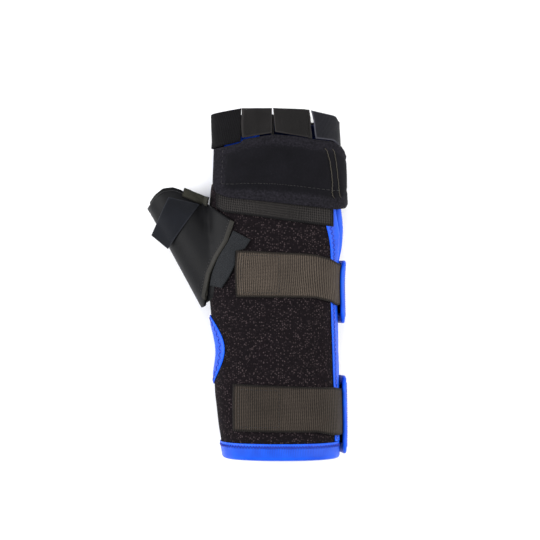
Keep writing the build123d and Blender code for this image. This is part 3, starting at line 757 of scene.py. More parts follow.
def zigzag(where, length, width, height, thread, name, closed=False, step=1.5, swing=1.1):
    """One run of zigzag stitch that follows a tape, as a continuous thread."""
    count = int(length / step)
    corners = np.linspace(0.004, 0.996, count)
    s, d, h = [], [], []
    for k in range(count - 1):
        for t in (0.0, 0.5):
            s.append(corners[k] + (corners[k + 1] - corners[k]) * t)
            side = (1 if k % 2 else -1) * (1 - 2 * t)
            d.append(width + swing * side)
            h.append(height + (0.18 if t else -0.12))
    line = where(np.array(s), np.array(d), np.array(h))
    return tubes(name, [line], 0.24, thread, sides=5)


def joined(*pieces):
    """The pieces as one object, each keeping its material."""
    with bpy.context.temp_override(active_object=pieces[0], selected_editable_objects=list(pieces)):
        bpy.ops.object.join()
    return pieces[0]


def degrees_per_mm(y, angle):
    """How far round the limb one millimetre reaches."""
    cx, cz, _, _ = section(y)
    p = on_limb(y, angle)
    return np.degrees(1 / np.maximum(np.hypot(p[..., 0] - cx, p[..., 2] - cz), 1))


def along_limb(edge, low, high, turn):
    """A place function for tape that runs along the limb; turn is 1 where the panel lies at larger angles."""
    def where(s, d, h):
        y = low + (high - low) * s
        angle = edge(y)
        return on_limb(y, angle + turn * d * degrees_per_mm(y, angle), h)

    return where


def round_limb(y_edge, first, last):
    """A place function for tape across the limb at the cuff, from one angle to another."""
    def where(s, d, h):
        return on_limb(y_edge + d, first + (last - first) * s, h)

    return where


EDGES = [  # CAD node, place function, length, width, panel's inner offset
    ("palmar_cuff_binding", round_limb(CUFF_Y, 224.9, 360.0), 120.0, 8.0, TROUGH_IN),
    ("palmar_ulnar_binding", along_limb(trough_edge, -87.5, 110.0, -1), 197.0, 8.0, TROUGH_IN),
    ("palmar_radial_binding", along_limb(radial_seam, 85.5, 118.0, 1), 34.0, 8.0, TROUGH_IN),
]
for cad_node, where, length, width, panel_in in EDGES:
    edge_tape = tape(cad_node + "_tape", where, length, width, panel_in, seed=length)
    stitches = zigzag(where, length, width - 2.2, TAPE_OUT, blue_thread, cad_node + "_zigzag")
    fix(edge_tape, "brace", "lycra_binding", cad_node)
    stitches.parent = edge_tape

# ---------------------------------------------------------------- dorsal wrap and its lining
# One panel of the same brushed laminate, sewn to the trough on the thumb side and brought over the
# back of the wrist. It has an oval window at the wrist's bony point and an opening for the thumb.

WRAP_T, LINING_T, WRAP_END_Y = 2.6, 0.6, 84.0
WRAP_IN = -(WRAP_T + GAP + 0.8)
STYLOID_HOLE = (-26.5, 29.0, 16.0, 12.5)  # centre y and z, half length, half height
THUMB_HOLE = (38.0, 27.0, 27.0, 14.0)


def in_hole(points, hole):
    """Below 1 inside an elliptical opening in the thumb side."""
    y, z, half_y, half_z = hole
    level = ((points[..., 1] - y) / half_y) ** 2 + ((points[..., 2] - z) / half_z) ** 2
    return np.where(points[..., 0] < -20, level, 9.0)


def side_point(y, z, offset, side):
    """The limb's surface at height z, on the ulnar side (1) or the radial side (-1)."""
    cx, cz, a, b = section(y)
    a, b = a + offset, b + offset
    v = np.clip(np.abs(z - cz) / b, 0, 0.999)
    return np.stack([cx + side * a * (1 - v**SQUARENESS) ** (1 / SQUARENESS), y + 0 * z, z + 0 * y], axis=-1)


def pierced(name, grid, u, v, long_u, long_v, offset, half, holes, material, relief=0.0):
    """A layer that follows the limb, with elliptical openings in its thumb side."""
    y, angle = grid[..., 1].copy(), grid[..., 0].copy()
    points = on_limb(y, angle, offset)
    cut = np.zeros((y.shape[0] - 1, y.shape[1] - 1), bool)
    for hole in holes:
        level = in_hole(points, hole)
        centre = (level[:-1, :-1] + level[1:, :-1] + level[:-1, 1:] + level[1:, 1:]) / 4
        gone = centre < 1.0
        cut |= gone
        touched = np.zeros(y.shape, int)
        for dr in (0, 1):
            for dc in (0, 1):
                touched[dr : dr + gone.shape[0], dc : dc + gone.shape[1]] += gone
        rim = (touched > 0) & (touched < 4)
        shrink = 1 / np.sqrt(level[rim])
        to_y = hole[0] + (points[rim][:, 1] - hole[0]) * shrink
        to_z = hole[1] + (points[rim][:, 2] - hole[1]) * shrink
        found = side_point(to_y, to_z, offset, -1)
        cx, cz, _, _ = section(to_y)
        y[rim] = to_y
        angle[rim] = np.degrees(np.arctan2(found[:, 2] - cz, found[:, 0] - cx)) % 360
    mid = on_limb(y, angle, offset)
    cx, cz, _, _ = section(y)
    n = normals_of(mid, np.stack([cx, y, cz], axis=-1))
    edge = np.minimum(np.minimum(u, long_u - u), np.minimum(v, long_v - v))
    round_off = np.sqrt(np.clip(1 - (1 - np.clip(edge / half, 0, 1)) ** 2, 0, 1))[..., None]
    top = mid + n * (half + np.broadcast_to(relief, u.shape)[..., None]) * round_off
    under = mid - n * half * round_off
    rows, columns = u.shape
    index = np.arange(rows * columns).reshape(rows, columns)
    back = index.copy()
    inner = np.zeros_like(index, bool)
    inner[1:-1, 1:-1] = True
    back[inner] = rows * columns + np.arange(inner.sum())
    cloth = np.stack([u, v, np.zeros_like(u)], axis=-1)
    faces = []
    for r in range(rows - 1):
        for c in range(columns - 1):
            if cut[r, c]:
                continue
            ring = (index[r, c], index[r, c + 1], index[r + 1, c + 1], index[r + 1, c])
            faces.append([int(k) for k in ring])
            faces.append([int(k) for k in (back[r, c], back[r + 1, c], back[r + 1, c + 1], back[r, c + 1])])
            for (r1, c1), (r2, c2), (dr, dc) in (
                ((r, c), (r, c + 1), (-1, 0)),
                ((r + 1, c + 1), (r + 1, c), (1, 0)),
                ((r + 1, c), (r, c), (0, -1)),
                ((r, c + 1), (r + 1, c + 1), (0, 1)),
            ):
                nr, nc = r + dr, c + dc
                if 0 <= nr < rows - 1 and 0 <= nc < columns - 1 and cut[nr, nc]:
                    wall = (index[r2, c2], index[r1, c1], back[r1, c1], back[r2, c2])
                    faces.append([int(k) for k in wall])
    used = sorted({k for face in faces for k in face})
    renumber = {k: n for n, k in enumerate(used)}
    points = np.concatenate([top.reshape(-1, 3), under[inner]])[used]
    weave = np.concatenate([cloth.reshape(-1, 3), cloth[inner]])[used]
    faces = [[renumber[k] for k in face] for face in faces]
    piece = mesh_piece(name, points, faces, material, weave)
    turn_outwards(piece)
    return piece, flat_cut(mid, cut)


def wrap_blanket(inset, cell):
    """The grid of one layer of the wrap."""
    ys = np.linspace(CUFF_Y, WRAP_END_Y, 60)
    start = path([(wrap_edge(y) + inset, y) for y in ys])
    end = path([(radial_seam(y) + 0.4 - inset, y) for y in ys])
    low = path([(wrap_edge(CUFF_Y) + inset, CUFF_Y), (radial_seam(CUFF_Y) + 0.4 - inset, CUFF_Y)])
    high = path(
        [(wrap_edge(WRAP_END_Y) + inset, WRAP_END_Y), (radial_seam(WRAP_END_Y) + 0.4 - inset, WRAP_END_Y)]
    )
    return blanket(low, high, start, end, cell, 1.2)


grid, u, v, long_u, long_v = wrap_blanket(0.0, (2.2, 2.2))
away = ease(np.minimum(np.minimum(u, long_u - u), np.minimum(v, long_v - v)), 9, 20)
# soft hollows between the straps, where the foam gives
between = np.exp(-(((grid[..., 1] + 22) / 16) ** 2)) + np.exp(-(((grid[..., 1] - 50) / 10) ** 2))
swell = away * (0.3 * waviness(on_limb(grid[..., 1], grid[..., 0]), 14, 5.0) + 0.25 * (0.4 - between))
wrap, cloth_cut = pierced(
    "wrap_panel",
    grid,
    u,
    v,
    long_u,
    long_v,
    -WRAP_T / 2,
    WRAP_T / 2 - 0.05,
    [STYLOID_HOLE, THUMB_HOLE],
    loop_cloth,
    swell,
)
fix(wrap, "brace", "loop_laminate", "dorsal_wrap")

grid, u, v, long_u, long_v = wrap_blanket(0.4, (3.4, 3.4))
lining, cloth_cut = pierced(
    "wrap_lining",
    grid,
    u,
    v,
    long_u,
    long_v,
    -(WRAP_T + GAP + LINING_T / 2),
    LINING_T / 2,
    [STYLOID_HOLE, THUMB_HOLE],
    lining_knit,
)
fix(lining, "brace", "lining", "dorsal_lining")

# ---------------------------------------------------------------- bound edges of the wrap
# The same blue tape over the wrap's cuff, its free ulnar edge and the oval window.


def round_window(hole, grow=0.0):
    """A place function for tape round an elliptical opening; the panel lies outside the ellipse."""
    y, z, half_y, half_z = hole

    def where(s, d, h):
        turn = 2 * math.pi * s
        return side_point(
            y + (half_y + grow + d) * np.cos(turn), z + (half_z + grow + d) * np.sin(turn), h, -1
        )

    return where


EDGES = [  # CAD node, place function, length, width, closed
    ("cuff_binding", round_limb(CUFF_Y, 9.0, 224.8), 192.0, 10.0, False),
    ("ulnar_binding", along_limb(wrap_edge, -86.5, 84.0, 1), 171.0, 8.0, False),
    ("styloid_binding", round_window(STYLOID_HOLE), 90.0, 7.0, True),
]
for cad_node, where, length, width, closed in EDGES:
    edge_tape = tape(cad_node + "_tape", where, length, width, WRAP_IN, closed=closed, seed=length)
    stitches = zigzag(where, length, width - 2.2, TAPE_OUT, blue_thread, cad_node + "_zigzag")
    fix(edge_tape, "brace", "lycra_binding", cad_node)
    stitches.parent = edge_tape

# ---------------------------------------------------------------- strip across the back of the hand
# A slanted strip of knitted elastic sewn over the wrap's distal end; the knuckle pad lies on its edge.


def on_top(x, y, offset=0.0):
    """(angle, y) of the limb's back at a plan position; works on numbers and arrays."""
    cx, cz, a, b = section(y)
    a, b = a + offset, b + offset
    across = np.clip(np.abs(x - cx) / a, 0, 0.9995)
    return np.degrees(np.arctan2(b * (1 - across**SQUARENESS) ** (1 / SQUARENESS), x - cx))


def from_side(z, y, offset=0.0):
    """The angle of the limb's ulnar side at height z."""
    cx, cz, a, b = section(y)
    a, b = a + offset, b + offset
    up = np.clip(np.abs(z - cz) / b, 0, 0.9995)
    return np.degrees(np.arctan2(z - cz, a * (1 - up**SQUARENESS) ** (1 / SQUARENESS)))


def ribbed(name, dark, light, edge, rib, weft):
    """Woven elastic: ribs across it, rib mm apart, fine warp ends weft mm apart, and darker selvedges. The
    rib crests are painted in the light colour, a painted highlight.
    """
    material, tree = new_material(name)
    cloth = node(tree, "Attribute", attribute_name="weave")
    rim = node(tree, "Attribute", attribute_name="rim")
    place = node(tree, "TexCoord")
    split = node(tree, "SeparateXYZ", {0: cloth.outputs["Vector"]})
    wave = node(tree, "Math", {0: split, 1: 2 * math.pi / rib}, operation="MULTIPLY")
    jitter = node(tree, "TexNoise", {"Vector": place.outputs["Object"], "Scale": 500.0, "Detail": 2.0})
    shifted = node(tree, "Math", {0: jitter, 1: 2.4, 2: wave}, operation="MULTIPLY_ADD")
    ribs = node(tree, "Math", {0: shifted}, operation="SINE")
    warp = node(tree, "Math", {0: split.outputs[1], 1: 2 * math.pi / weft}, operation="MULTIPLY")
    warps = node(tree, "Math", {0: warp}, operation="SINE")
    both = node(tree, "Math", {0: warps, 1: 0.45, 2: ribs}, operation="MULTIPLY_ADD")
    mixed = node(tree, "MapRange", {0: both, 1: -1.4, 2: 1.4})
    soil = node(tree, "TexNoise", {"Vector": place.outputs["Object"], "Scale": 45.0, "Detail": 5.0})
    tint = node(tree, "MapRange", {0: soil, 1: 0.3, 2: 0.7, 3: 0.75, 4: 1.1})
    # painted highlight: the rib crests take the light colour
    yarn = node(tree, "Mix", {0: mixed, 6: linear(dark), 7: linear(light)}, data_type="RGBA")
    selvedge = node(tree, "MapRange", {0: rim.outputs["Fac"], 1: 0.8, 2: 2.0})
    edged = node(
        tree, "Mix", {0: selvedge, 6: linear(edge), 7: yarn.outputs[2]}, data_type="RGBA"
    )
    toned = node(tree, "VectorMath", {0: edged.outputs[2], "Scale": tint}, operation="SCALE")
    raised = node(tree, "Bump", {"Strength": 0.7, "Distance": 0.0003, "Height": both})
    surface = node(
        tree,
        "BsdfPrincipled",
        {
            "Base Color": toned,
            "Roughness": 0.72,
            "Specular IOR Level": 0.1,
            "Sheen Weight": 0.02,
            "Sheen Roughness": 0.4,
            "Normal": raised,
        },
    )
    node(tree, "OutputMaterial", {"Surface": surface})
    return material


def plan_sheet(name, low, high, start, end, offset, half, cell, material, fold=None, **kind):
    """A sheet on the limb's back between four edge curves given as (angle, y)."""
    grid, u, v, long_u, long_v = blanket(path(low), path(high), path(start), path(end), cell, half)
    lift = fold(grid, u, v, long_u, long_v) if fold else 0.0
    mid = on_limb(grid[..., 1], grid[..., 0], offset + lift)
    piece = fabric(name, mid, u, v, long_u, long_v, half, half, material, **kind)
    true_u, true_v = spans(mid)
    return piece, (true_u * 0.001, true_v * 0.001)


# black knitted elastic, its ribs 1.1 mm apart and almost matt
knitted = ribbed("knitted_elastic_strip", "#080808", "#33302F", "#0E0D0E", 1.1, 1.6)

STRIP_IN, STRIP_OUT = 1.1, 2.3
middle = (STRIP_IN + STRIP_OUT) / 2
low = [(-41.6, 67.8), (-36.0, 64.4), (-17.8, 62.0), (9.2, 58.1), (36.0, 55.0)]
high = [(-41.6, 79.6), (9.0, 73.0), (36.0, 69.7)]


def fine(points, offset, count=24):
    """(angle, y) along a plan outline, closely enough to follow the limb."""
    curve = path(points)(np.linspace(0, 1, count))
    return [(float(on_top(x, y, offset)), float(y)) for x, y in curve]


low, high = fine(low, middle), fine(high, middle)
strip, flat = plan_sheet(
    "hand_strip_elastic", low, high, [low[0], high[0]], [low[-1], high[-1]], middle, 0.6, (1.6, 1.6), knitted
)
fix(strip, "brace", "webbing", "hand_strip")

# ---------------------------------------------------------------- raised tabs on the ulnar side
# Two stiff laminate tabs stand off the ulnar side with blue tape round their rims. Each strap comes out
# of the gap between its tab and the splint.

STRAP_IN, STRAP_OUT = 1.3, 2.7
TAB_IN, TAB_OUT = 3.45, 5.2
TABS = {"wrist": (-8.0, 31.5, 34.5), "forearm": (-95.0, -45.5, 35.5)}  # y from and to, top z
TAB_DEEP, TAB_CORNER = 24.0, 7.0


def rounded_outline(s, y_low, y_high, top, grow):
    """(y, z) round a tab's rounded outline, s from 0 to 1, moved outwards by grow."""
    s, grow = np.broadcast_arrays(np.asarray(s, float), np.asarray(grow, float))
    half_y, half_z = (y_high - y_low) / 2 - TAB_CORNER, TAB_DEEP / 2 - TAB_CORNER
    straight = np.array([2 * half_y, 2 * half_z, 2 * half_y, 2 * half_z])
    bend = math.pi / 2 * TAB_CORNER
    far = (s % 1.0) * (straight.sum() + 4 * bend)
    y, z = np.zeros_like(far), np.zeros_like(far)
    r = TAB_CORNER + grow
    corners = [(half_y, half_z), (-half_y, half_z), (-half_y, -half_z), (half_y, -half_z)]
    begun = 0.0
    for k in range(4):
        # one straight side towards its corner, then the corner's quarter turn
        facing = math.pi / 2 * (k + 1)
        cy, cz = corners[k]
        nxt = corners[(k + 1) % 4]
        turn = np.clip((far - begun) / bend, 0, 1)
        on_bend = (far >= begun) & (far <= begun + bend)
        angle = facing - math.pi / 2 + turn * math.pi / 2
        y = np.where(on_bend, cy + r * np.cos(angle), y)
        z = np.where(on_bend, cz + r * np.sin(angle), z)
        begun += bend
        run = straight[k]
        t = np.clip((far - begun) / run, 0, 1)
        on_side = (far > begun) & (far <= begun + run)
        y = np.where(on_side, cy + (nxt[0] - cy) * t + r * math.cos(facing), y)
        z = np.where(on_side, cz + (nxt[1] - cz) * t + r * math.sin(facing), z)
        begun += run
    return (y_low + y_high) / 2 + y, top - TAB_DEEP / 2 + z


def tab_plate(name, shape, material):
    """The laminate of one tab: rings of points from its rim to its middle, on both faces."""
    count = 72
    s = np.arange(count) / count
    rings = [(0.0, 0.0), (0.12, 0.5), (0.5, 0.85), (1.1, 1.0), (3.0, 1.0), (5.0, 1.0), (6.8, 1.0)]
    points, weave = [], []
    for face in (1, -1):
        for inset, thick in rings:
            y, z = rounded_outline(s, *shape, -inset)
            h = (TAB_IN + TAB_OUT) / 2 + face * thick * (TAB_OUT - TAB_IN) / 2
            points.append(side_point(y, z, h, 1))
            weave.append(np.stack([y, z, 0 * y], axis=-1))
        y, z = rounded_outline(s, *shape, -6.8)
        middle_y, middle_z = (shape[0] + shape[1]) / 2, shape[2] - TAB_DEEP / 2
        for k in (0.5, 0.0):
            yy, zz = middle_y + (y - middle_y) * k, middle_z + (z - middle_z) * k
            points.append(side_point(yy, zz, (TAB_IN + TAB_OUT) / 2 + face * (TAB_OUT - TAB_IN) / 2, 1))
            weave.append(np.stack([yy, zz, 0 * yy], axis=-1))
    layers = len(rings) + 2
    faces = []
    for k in range(count):
        n = (k + 1) % count
        for layer in range(layers - 1):
            for base, order in ((0, 1), (layers, -1)):
                a, b = (base + layer) * count, (base + layer + 1) * count
                faces.append([a + k, a + n, b + n, b + k][::order])
        faces.append([k, layers * count + k, layers * count + n, n])
    piece = mesh_piece(name, np.concatenate(points), faces, material, np.concatenate(weave))
    turn_outwards(piece, weld=0.00001)
    return piece


for which, shape in TABS.items():
    plate = tab_plate(which + "_tab_plate", shape, loop_cloth)
    fix(plate, "brace", "loop_laminate", which + "_tab")

    def round_tab(s, d, h, shape=shape):
        y, z = rounded_outline(s, *shape, -d)
        return side_point(y, z, h, 1)

    length = 2 * (shape[1] - shape[0] - 14) + 2 * 10 + 2 * math.pi * 7
    rim = tape(
        which + "_tab_tape",
        round_tab,
        length,
        5.5,
        TAB_IN,
        closed=True,
        out=0.6,
        outside=TAB_OUT,
        seed=shape[2],
    )
    stitches = zigzag(round_tab, length, 3.6, TAB_OUT + 0.6, blue_thread, which + "_tab_zigzag", swing=0.9)
    fix(rim, "brace", "lycra_binding", which + "_tab_binding")
    stitches.parent = rim

# ---------------------------------------------------------------- wrist and forearm straps
# Two 30 mm woven elastic straps, sewn in under the ulnar tabs, pulled over the back of the wrist and
# pressed down on the wrap's loop pile by a hook patch under each free end.

# woven elastic: close raised ribs across it, their crests painted pale as fine lines of painted highlight
wrist_elastic = ribbed("woven_elastic_warm_grey", "#100D0B", "#5A5047", "#1E1A17", 1.45, 0.9)
forearm_elastic = ribbed("woven_elastic_dark_brown", "#0B0908", "#443C35", "#171412", 1.45, 0.9)

# moulded nylon hook tape: rows of hooks 0.9 mm apart
hooks, tree = new_material("moulded_nylon_hook_tape")
cloth = node(tree, "Attribute", attribute_name="weave")
tips = node(tree, "TexVoronoi", {"Vector": cloth.outputs["Vector"], "Scale": 1 / 0.9, "Randomness": 0.25})
lit = node(tree, "MapRange", {0: tips.outputs["Distance"], 1: 0.1, 2: 0.45, 3: 1.0, 4: 0.0})
fluff = node(tree, "TexNoise", {"Vector": cloth.outputs["Vector"], "Scale": 0.35, "Detail": 6.0})
base = node(tree, "Mix", {0: fluff, 6: linear("#0C0D0F"), 7: linear("#1E2023")}, data_type="RGBA")
colour = node(tree, "Mix", {0: lit, 6: base.outputs[2], 7: linear("#2C2F33")}, data_type="RGBA")
stubble = node(tree, "Bump", {"Strength": 0.9, "Distance": 0.0005, "Height": lit})
surface = node(
    tree,
    "BsdfPrincipled",
    {
        "Base Color": colour.outputs[2],
        "Roughness": 0.6,
        "Specular IOR Level": 0.12,
        "Sheen Weight": 0.02,
        "Normal": stubble,
    },
)
node(tree, "OutputMaterial", {"Surface": surface})

STRAPS = {  # low and high edge in plan, foot y, hook patch corners clockwise from its lower left
    "wrist": (
        [(-27.7, 8.6), (14, 8.3), (24, 7.9), (34, 5.3), (38.3, 2.9)],
        [(-27.7, 39.3), (14, 37.4), (24, 36.6), (33.7, 34), (38.9, 31)],
        (3.2, 30.4),
        [(-26.7, 9.6), (-26.7, 38.3), (2, 37.2), (2, 9.4)],
    ),
    "forearm": (
        [(-29.7, -78.8), (25, -79.5), (36, -82.2), (40, -82.6)],
        [(-29.7, -47.9), (0, -49.0), (36, -50.6), (40, -51.8)],
        (-82.6, -52.4),
        [(-28.7, -77.8), (-28.7, -49.4), (2, -50.2), (2, -78.1)],
    ),
}
STRAP_FOOT = -14.0  # angle of the sewn end
middle = (STRAP_IN + STRAP_OUT) / 2
for which, (low, high, foot, patch) in STRAPS.items():
    elastic = wrist_elastic if which == "wrist" else forearm_elastic
    top = TABS[which][2]
    # both edges run from the foot up the side, then over the back to the free end
    climb = [7.0, 14.0, 21.0, 28.0, top + 1.0]
    edges = []
    for y_foot, outline in zip(foot, (low, high)):
        side = [(STRAP_FOOT, y_foot)]
        shown = [z for z in climb if z > 8 and from_side(z, y_foot) > -10]
        side += [(float(from_side(z, y_foot, middle)), y_foot) for z in shown]
        back = [p for p in fine(outline, middle, 40)][::-1]
        edges.append(side + [p for p in back if p[0] > side[-1][0] + 1])

    def lie(grid, u, v, long_u, long_v):
        """The corded selvedges stand a little proud and the cut end lifts slightly off the pile."""
        selvedge = 0.12 * np.exp(-(((np.minimum(v, long_v - v) - 1.2) / 0.8) ** 2))
        return selvedge + 0.45 * ease(u, long_u - 9, long_u) + 0.12 * waviness(grid, 18, 2.0)

    band, flat = plan_sheet(
        which + "_strap_elastic",
        edges[0],
        edges[1],
        [edges[0][0], edges[1][0]],
        [edges[0][-1], edges[1][-1]],
        middle,
        0.68,
        (1.5, 1.5),
        elastic,
        lie,
    )
    # box stitching that holds the hook patch, seen on the strap's face
    corners = patch + [patch[0]]
    seam = path([(x, y) for x, y in corners])

    def over_strap(ts, lift, seam=seam):
        xy = np.array([seam(t) for t in ts])
        inset = np.array([-12.3, sum(p[1] for p in corners[:4]) / 4])
        xy = inset + (xy - inset) * 0.86
        return on_limb(xy[:, 1], on_top(xy[:, 0], xy[:, 1], STRAP_OUT), STRAP_OUT + 0.08 + lift)

    rows = tubes(which + "_strap_seam", dashes(over_strap, 104, stitch=1.8, gap=0.9), 0.16, black_thread)
    band = joined(band, rows)
    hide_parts(which + "_strap", which + "_strap_root")
    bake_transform(band)

    a, b, c, d = patch
    hook, flat = plan_sheet(
        which + "_strap_hooks",
        fine([a, d], 0.78),
        fine([b, c], 0.78),
        fine([a, b], 0.78),
        fine([d, c], 0.78),
        0.78,
        0.36,
        (2.0, 2.0),
        hooks,
    )
    fix(hook, which + "_strap", "hook_fastener", which + "_strap_hook")

# ---------------------------------------------------------------- knuckle pad
# A foam pad in a knitted cover, sewn flat along its left, lower and ulnar margins and full between
# them. It folds on the ulnar side, where a double zigzag fixes it.

# fine warp knit over foam, stretched smooth; the margins are fuzzier
pad_knit, tree = new_material("warp_knit_pad_cover")
cloth = node(tree, "Attribute", attribute_name="weave")
rim = node(tree, "Attribute", attribute_name="rim")
place = node(tree, "TexCoord")
split = node(tree, "SeparateXYZ", {0: cloth.outputs["Vector"]})
wale = node(tree, "Math", {0: split, 1: 2 * math.pi / 0.9}, operation="MULTIPLY")
wales = node(tree, "Math", {0: wale}, operation="SINE")
course = node(tree, "Math", {0: split.outputs[1], 1: 2 * math.pi / 1.1}, operation="MULTIPLY")
courses = node(tree, "Math", {0: course}, operation="SINE")
loops = node(tree, "Math", {0: wales, 1: courses}, operation="MULTIPLY")
fuzz = node(tree, "TexNoise", {"Vector": place.outputs["Object"], "Scale": 900.0, "Detail": 5.0})
margin = node(tree, "MapRange", {0: rim.outputs["Fac"], 1: 6.0, 2: 9.0, 3: 1.0, 4: 0.6})
rough = node(tree, "Math", {0: fuzz, 1: margin}, operation="MULTIPLY")
height = node(tree, "Math", {0: loops, 1: 0.3, 2: rough}, operation="MULTIPLY_ADD")
shadow = node(tree, "TexNoise", {"Vector": place.outputs["Object"], "Scale": 70.0, "Detail": 5.0})
knit = node(tree, "Mix", {0: shadow, 6: linear("#040406"), 7: linear("#121116")}, data_type="RGBA")
lint = node(tree, "MapRange", {0: rough, 1: 0.35, 2: 0.8})
colour = node(tree, "Mix", {0: lint, 6: knit.outputs[2], 7: linear("#242228")}, data_type="RGBA")
bumpy = node(tree, "Bump", {"Strength": 0.6, "Distance": 0.0003, "Height": height})
surface = node(
    tree,
    "BsdfPrincipled",
    {
        "Base Color": colour.outputs[2],
        "Roughness": 0.8,
        "Specular IOR Level": 0.08,
        "Sheen Weight": 0.02,
        "Sheen Roughness": 0.35,
        "Sheen Tint": linear("#8C8CA0"),
        "Normal": bumpy,
    },
)
node(tree, "OutputMaterial", {"Surface": surface})

# waxed polyester thread in an aged yellow-brown
brown_thread = thread("waxed_polyester_thread_brown", "#2A2620", "#4E4838")

PAD_IN, PAD_OUT, PAD_FOOT_Z = 2.8, 7.0, 17.0
middle = (PAD_IN + PAD_OUT) / 2
pad_low = [(-41.9, 77.8), (-38.5, 75.8), (-33, 73.8), (-26, 73), (-5, 71), (18, 68.4), (38, 66.2)]
pad_low += [(43.6, 67.2)]
pad_high = [(-43.3, 106.8), (-34, 108.6), (-25.5, 110.6), (-24, 112.8), (-12, 115), (-3, 116.2), (10, 115.2)]
pad_high += [(22, 113.2), (36, 112), (41.5, 108.8)]
left = fine([(-43.3, 106.8), (-43.8, 84), (-42.8, 80), (-41.9, 77.8)], middle)[::-1]


def down_side(plan, y_side):
    """A plan edge continued down the ulnar side to the fold, from the fold back to its other end."""
    back = fine(plan, middle, 44)[::-1]
    heights = [PAD_FOOT_Z, 20.0, 23.0, 26.0]
    side = [(float(from_side(z, y_side, middle)), y_side) for z in heights]
    return side + [p for p in back if p[0] > side[-1][0] + 3]


pad_low_edge, pad_high_edge = down_side(pad_low, 71.5), down_side(pad_high, 104.0)
MARGIN = 8.0


def fold_distance(x, u, grid):
    """Distance from the fold to where the middle of the pad's outer face reaches x."""
    row = grid[grid.shape[0] // 2]
    reach = on_limb(row[:, 1], row[:, 0], middle + 2.1)[:, 0]
    return float(u[0][np.flatnonzero((reach < x) & (np.arange(len(reach)) > 8))[0]])


def pad_swell(grid, u, v, long_u, long_v):
    """How far the pad's outer face stands from flat: pressed down along the sewn margins, full inside."""
    inside = np.minimum(np.minimum(long_u - u, v), np.maximum(long_v - v, 1.0) + 4.0)
    full = ease(inside, MARGIN - 1.5, MARGIN + 7)
    near, far = fold_seams
    fold = ease(u, near - 3, far + 7)
    seam = np.exp(-(((inside - MARGIN) / 0.9) ** 2)) + np.exp(-(((u - near) / 0.8) ** 2))
    seam += np.exp(-(((u - far) / 0.8) ** 2))
    pucker = np.sin((u + v) * 2 * math.pi / 5.2) * np.exp(-(((inside - MARGIN + 2) / 3.0) ** 2))
    return -1.0 + 1.5 * full * fold - 0.55 * seam + 0.14 * pucker + 0.22 * waviness(grid, 12, 4.0)


grid, u, v, long_u, long_v = blanket(
    path(pad_low_edge),
    path(pad_high_edge),
    path([pad_low_edge[0], pad_high_edge[0]]),
    path(left),
    (1.2, 1.2),
    1.5,
)
mid = on_limb(grid[..., 1], grid[..., 0], middle)
fold_seams = (fold_distance(41.5, u, grid), fold_distance(37.0, u, grid))
rise = pad_swell(grid, u, v, long_u, long_v)
pad = fabric("knuckle_pad_cushion", mid, u, v, long_u, long_v, 2.1, 1.6, pad_knit, relief=rise)

CUSHION_CAP = 0.0009  # the most that the foam can push the cover out, in metres
CUSHION_FRAMES = 20
# cloth under the foam's pressure, held along its rims and seams; the cover is stiff, so it gives 0.1 mm
# at most and the pad keeps the shape that pad_swell made
still = pad.vertex_groups.new(name="sewn")
held = np.concatenate([(rise < -0.7).ravel(), np.ones(len(pad.data.vertices) - rise.size, bool)])
still.add([int(k) for k in np.flatnonzero(held)], 1.0, "REPLACE")
before = np.array([v.co for v in pad.data.vertices])
soft = pad.modifiers.new("cushion", "CLOTH")
soft.settings.quality = 5
soft.settings.mass = 0.15
soft.settings.use_pressure = True
soft.settings.uniform_pressure_force = 4.0
soft.settings.effector_weights.gravity = 0.0
soft.settings.vertex_group_mass = "sewn"
soft.settings.tension_stiffness = 25.0
soft.settings.bending_stiffness = 2.0
for frame_number in range(1, CUSHION_FRAMES + 1):
    SCENE.frame_set(frame_number)
settled = pad.evaluated_get(bpy.context.evaluated_depsgraph_get())
after = np.array([v.co for v in settled.data.vertices])
moved = after - before
far = np.linalg.norm(moved, axis=1, keepdims=True)
moved *= np.minimum(1.0, CUSHION_CAP / np.maximum(far, 1e-9))
pad.modifiers.remove(soft)
pad.vertex_groups.remove(still)
pad.data.vertices.foreach_set("co", (before + moved).ravel())
pad.data.update()
SCENE.frame_set(1)


def on_pad(u_mm, v_mm, lift):
    """Points on the pad's outer face at distances from its fold and from its lower edge."""
    us, vs = u[0], v[:, 0]
    found = []
    for a, b, h in zip(np.broadcast_to(u_mm, np.shape(lift)), np.broadcast_to(v_mm, np.shape(lift)), lift):
        c = min(int(np.searchsorted(us, a)), len(us) - 2)
        r = min(int(np.searchsorted(vs, b)), len(vs) - 2)
        at = on_limb(grid[r, c, 1], grid[r, c, 0], middle + 2.1 + rise[r, c] + h)
        found.append(at)
    return np.array(found)


brown_runs, black_runs = [], []
for u_mm in fold_seams:
    steps = np.arange(5.0, long_v - 4.0, 0.8)
    swing = np.where(np.arange(len(steps)) % 2, 0.8, -0.8)
    brown_runs.append(on_pad(u_mm + swing, steps, np.full(len(steps), 0.2)))
STITCH_EVERY = 3.1
stitch_along = np.array([0, 0.5, 1.2, 2.0, 2.4])
stitch_lift = np.array([-0.3, 0.1, 0.2, 0.1, -0.3])
for start_v in np.arange(MARGIN, long_v - 4, STITCH_EVERY):
    black_runs.append(on_pad(long_u - MARGIN, start_v + stitch_along, stitch_lift))
for start_u in np.arange(fold_seams[0], long_u - MARGIN, STITCH_EVERY):
    black_runs.append(on_pad(start_u + stitch_along, MARGIN, stitch_lift))
pad = joined(
    pad,
    tubes("pad_zigzag", brown_runs, 0.22, brown_thread, sides=5),
    tubes("pad_stitches", black_runs, 0.2, black_thread, sides=5),
)
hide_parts("knuckle_pad_cover", "knuckle_pad_foam")
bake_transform(pad)

# ---------------------------------------------------------------- finger straps and the webs between fingers
# Four short straps, one over each finger. Each is sewn to a web at its ulnar end and pressed down at its
# other end. The index strap is loop fabric, the middle and ring straps are twill, the little one is satin.


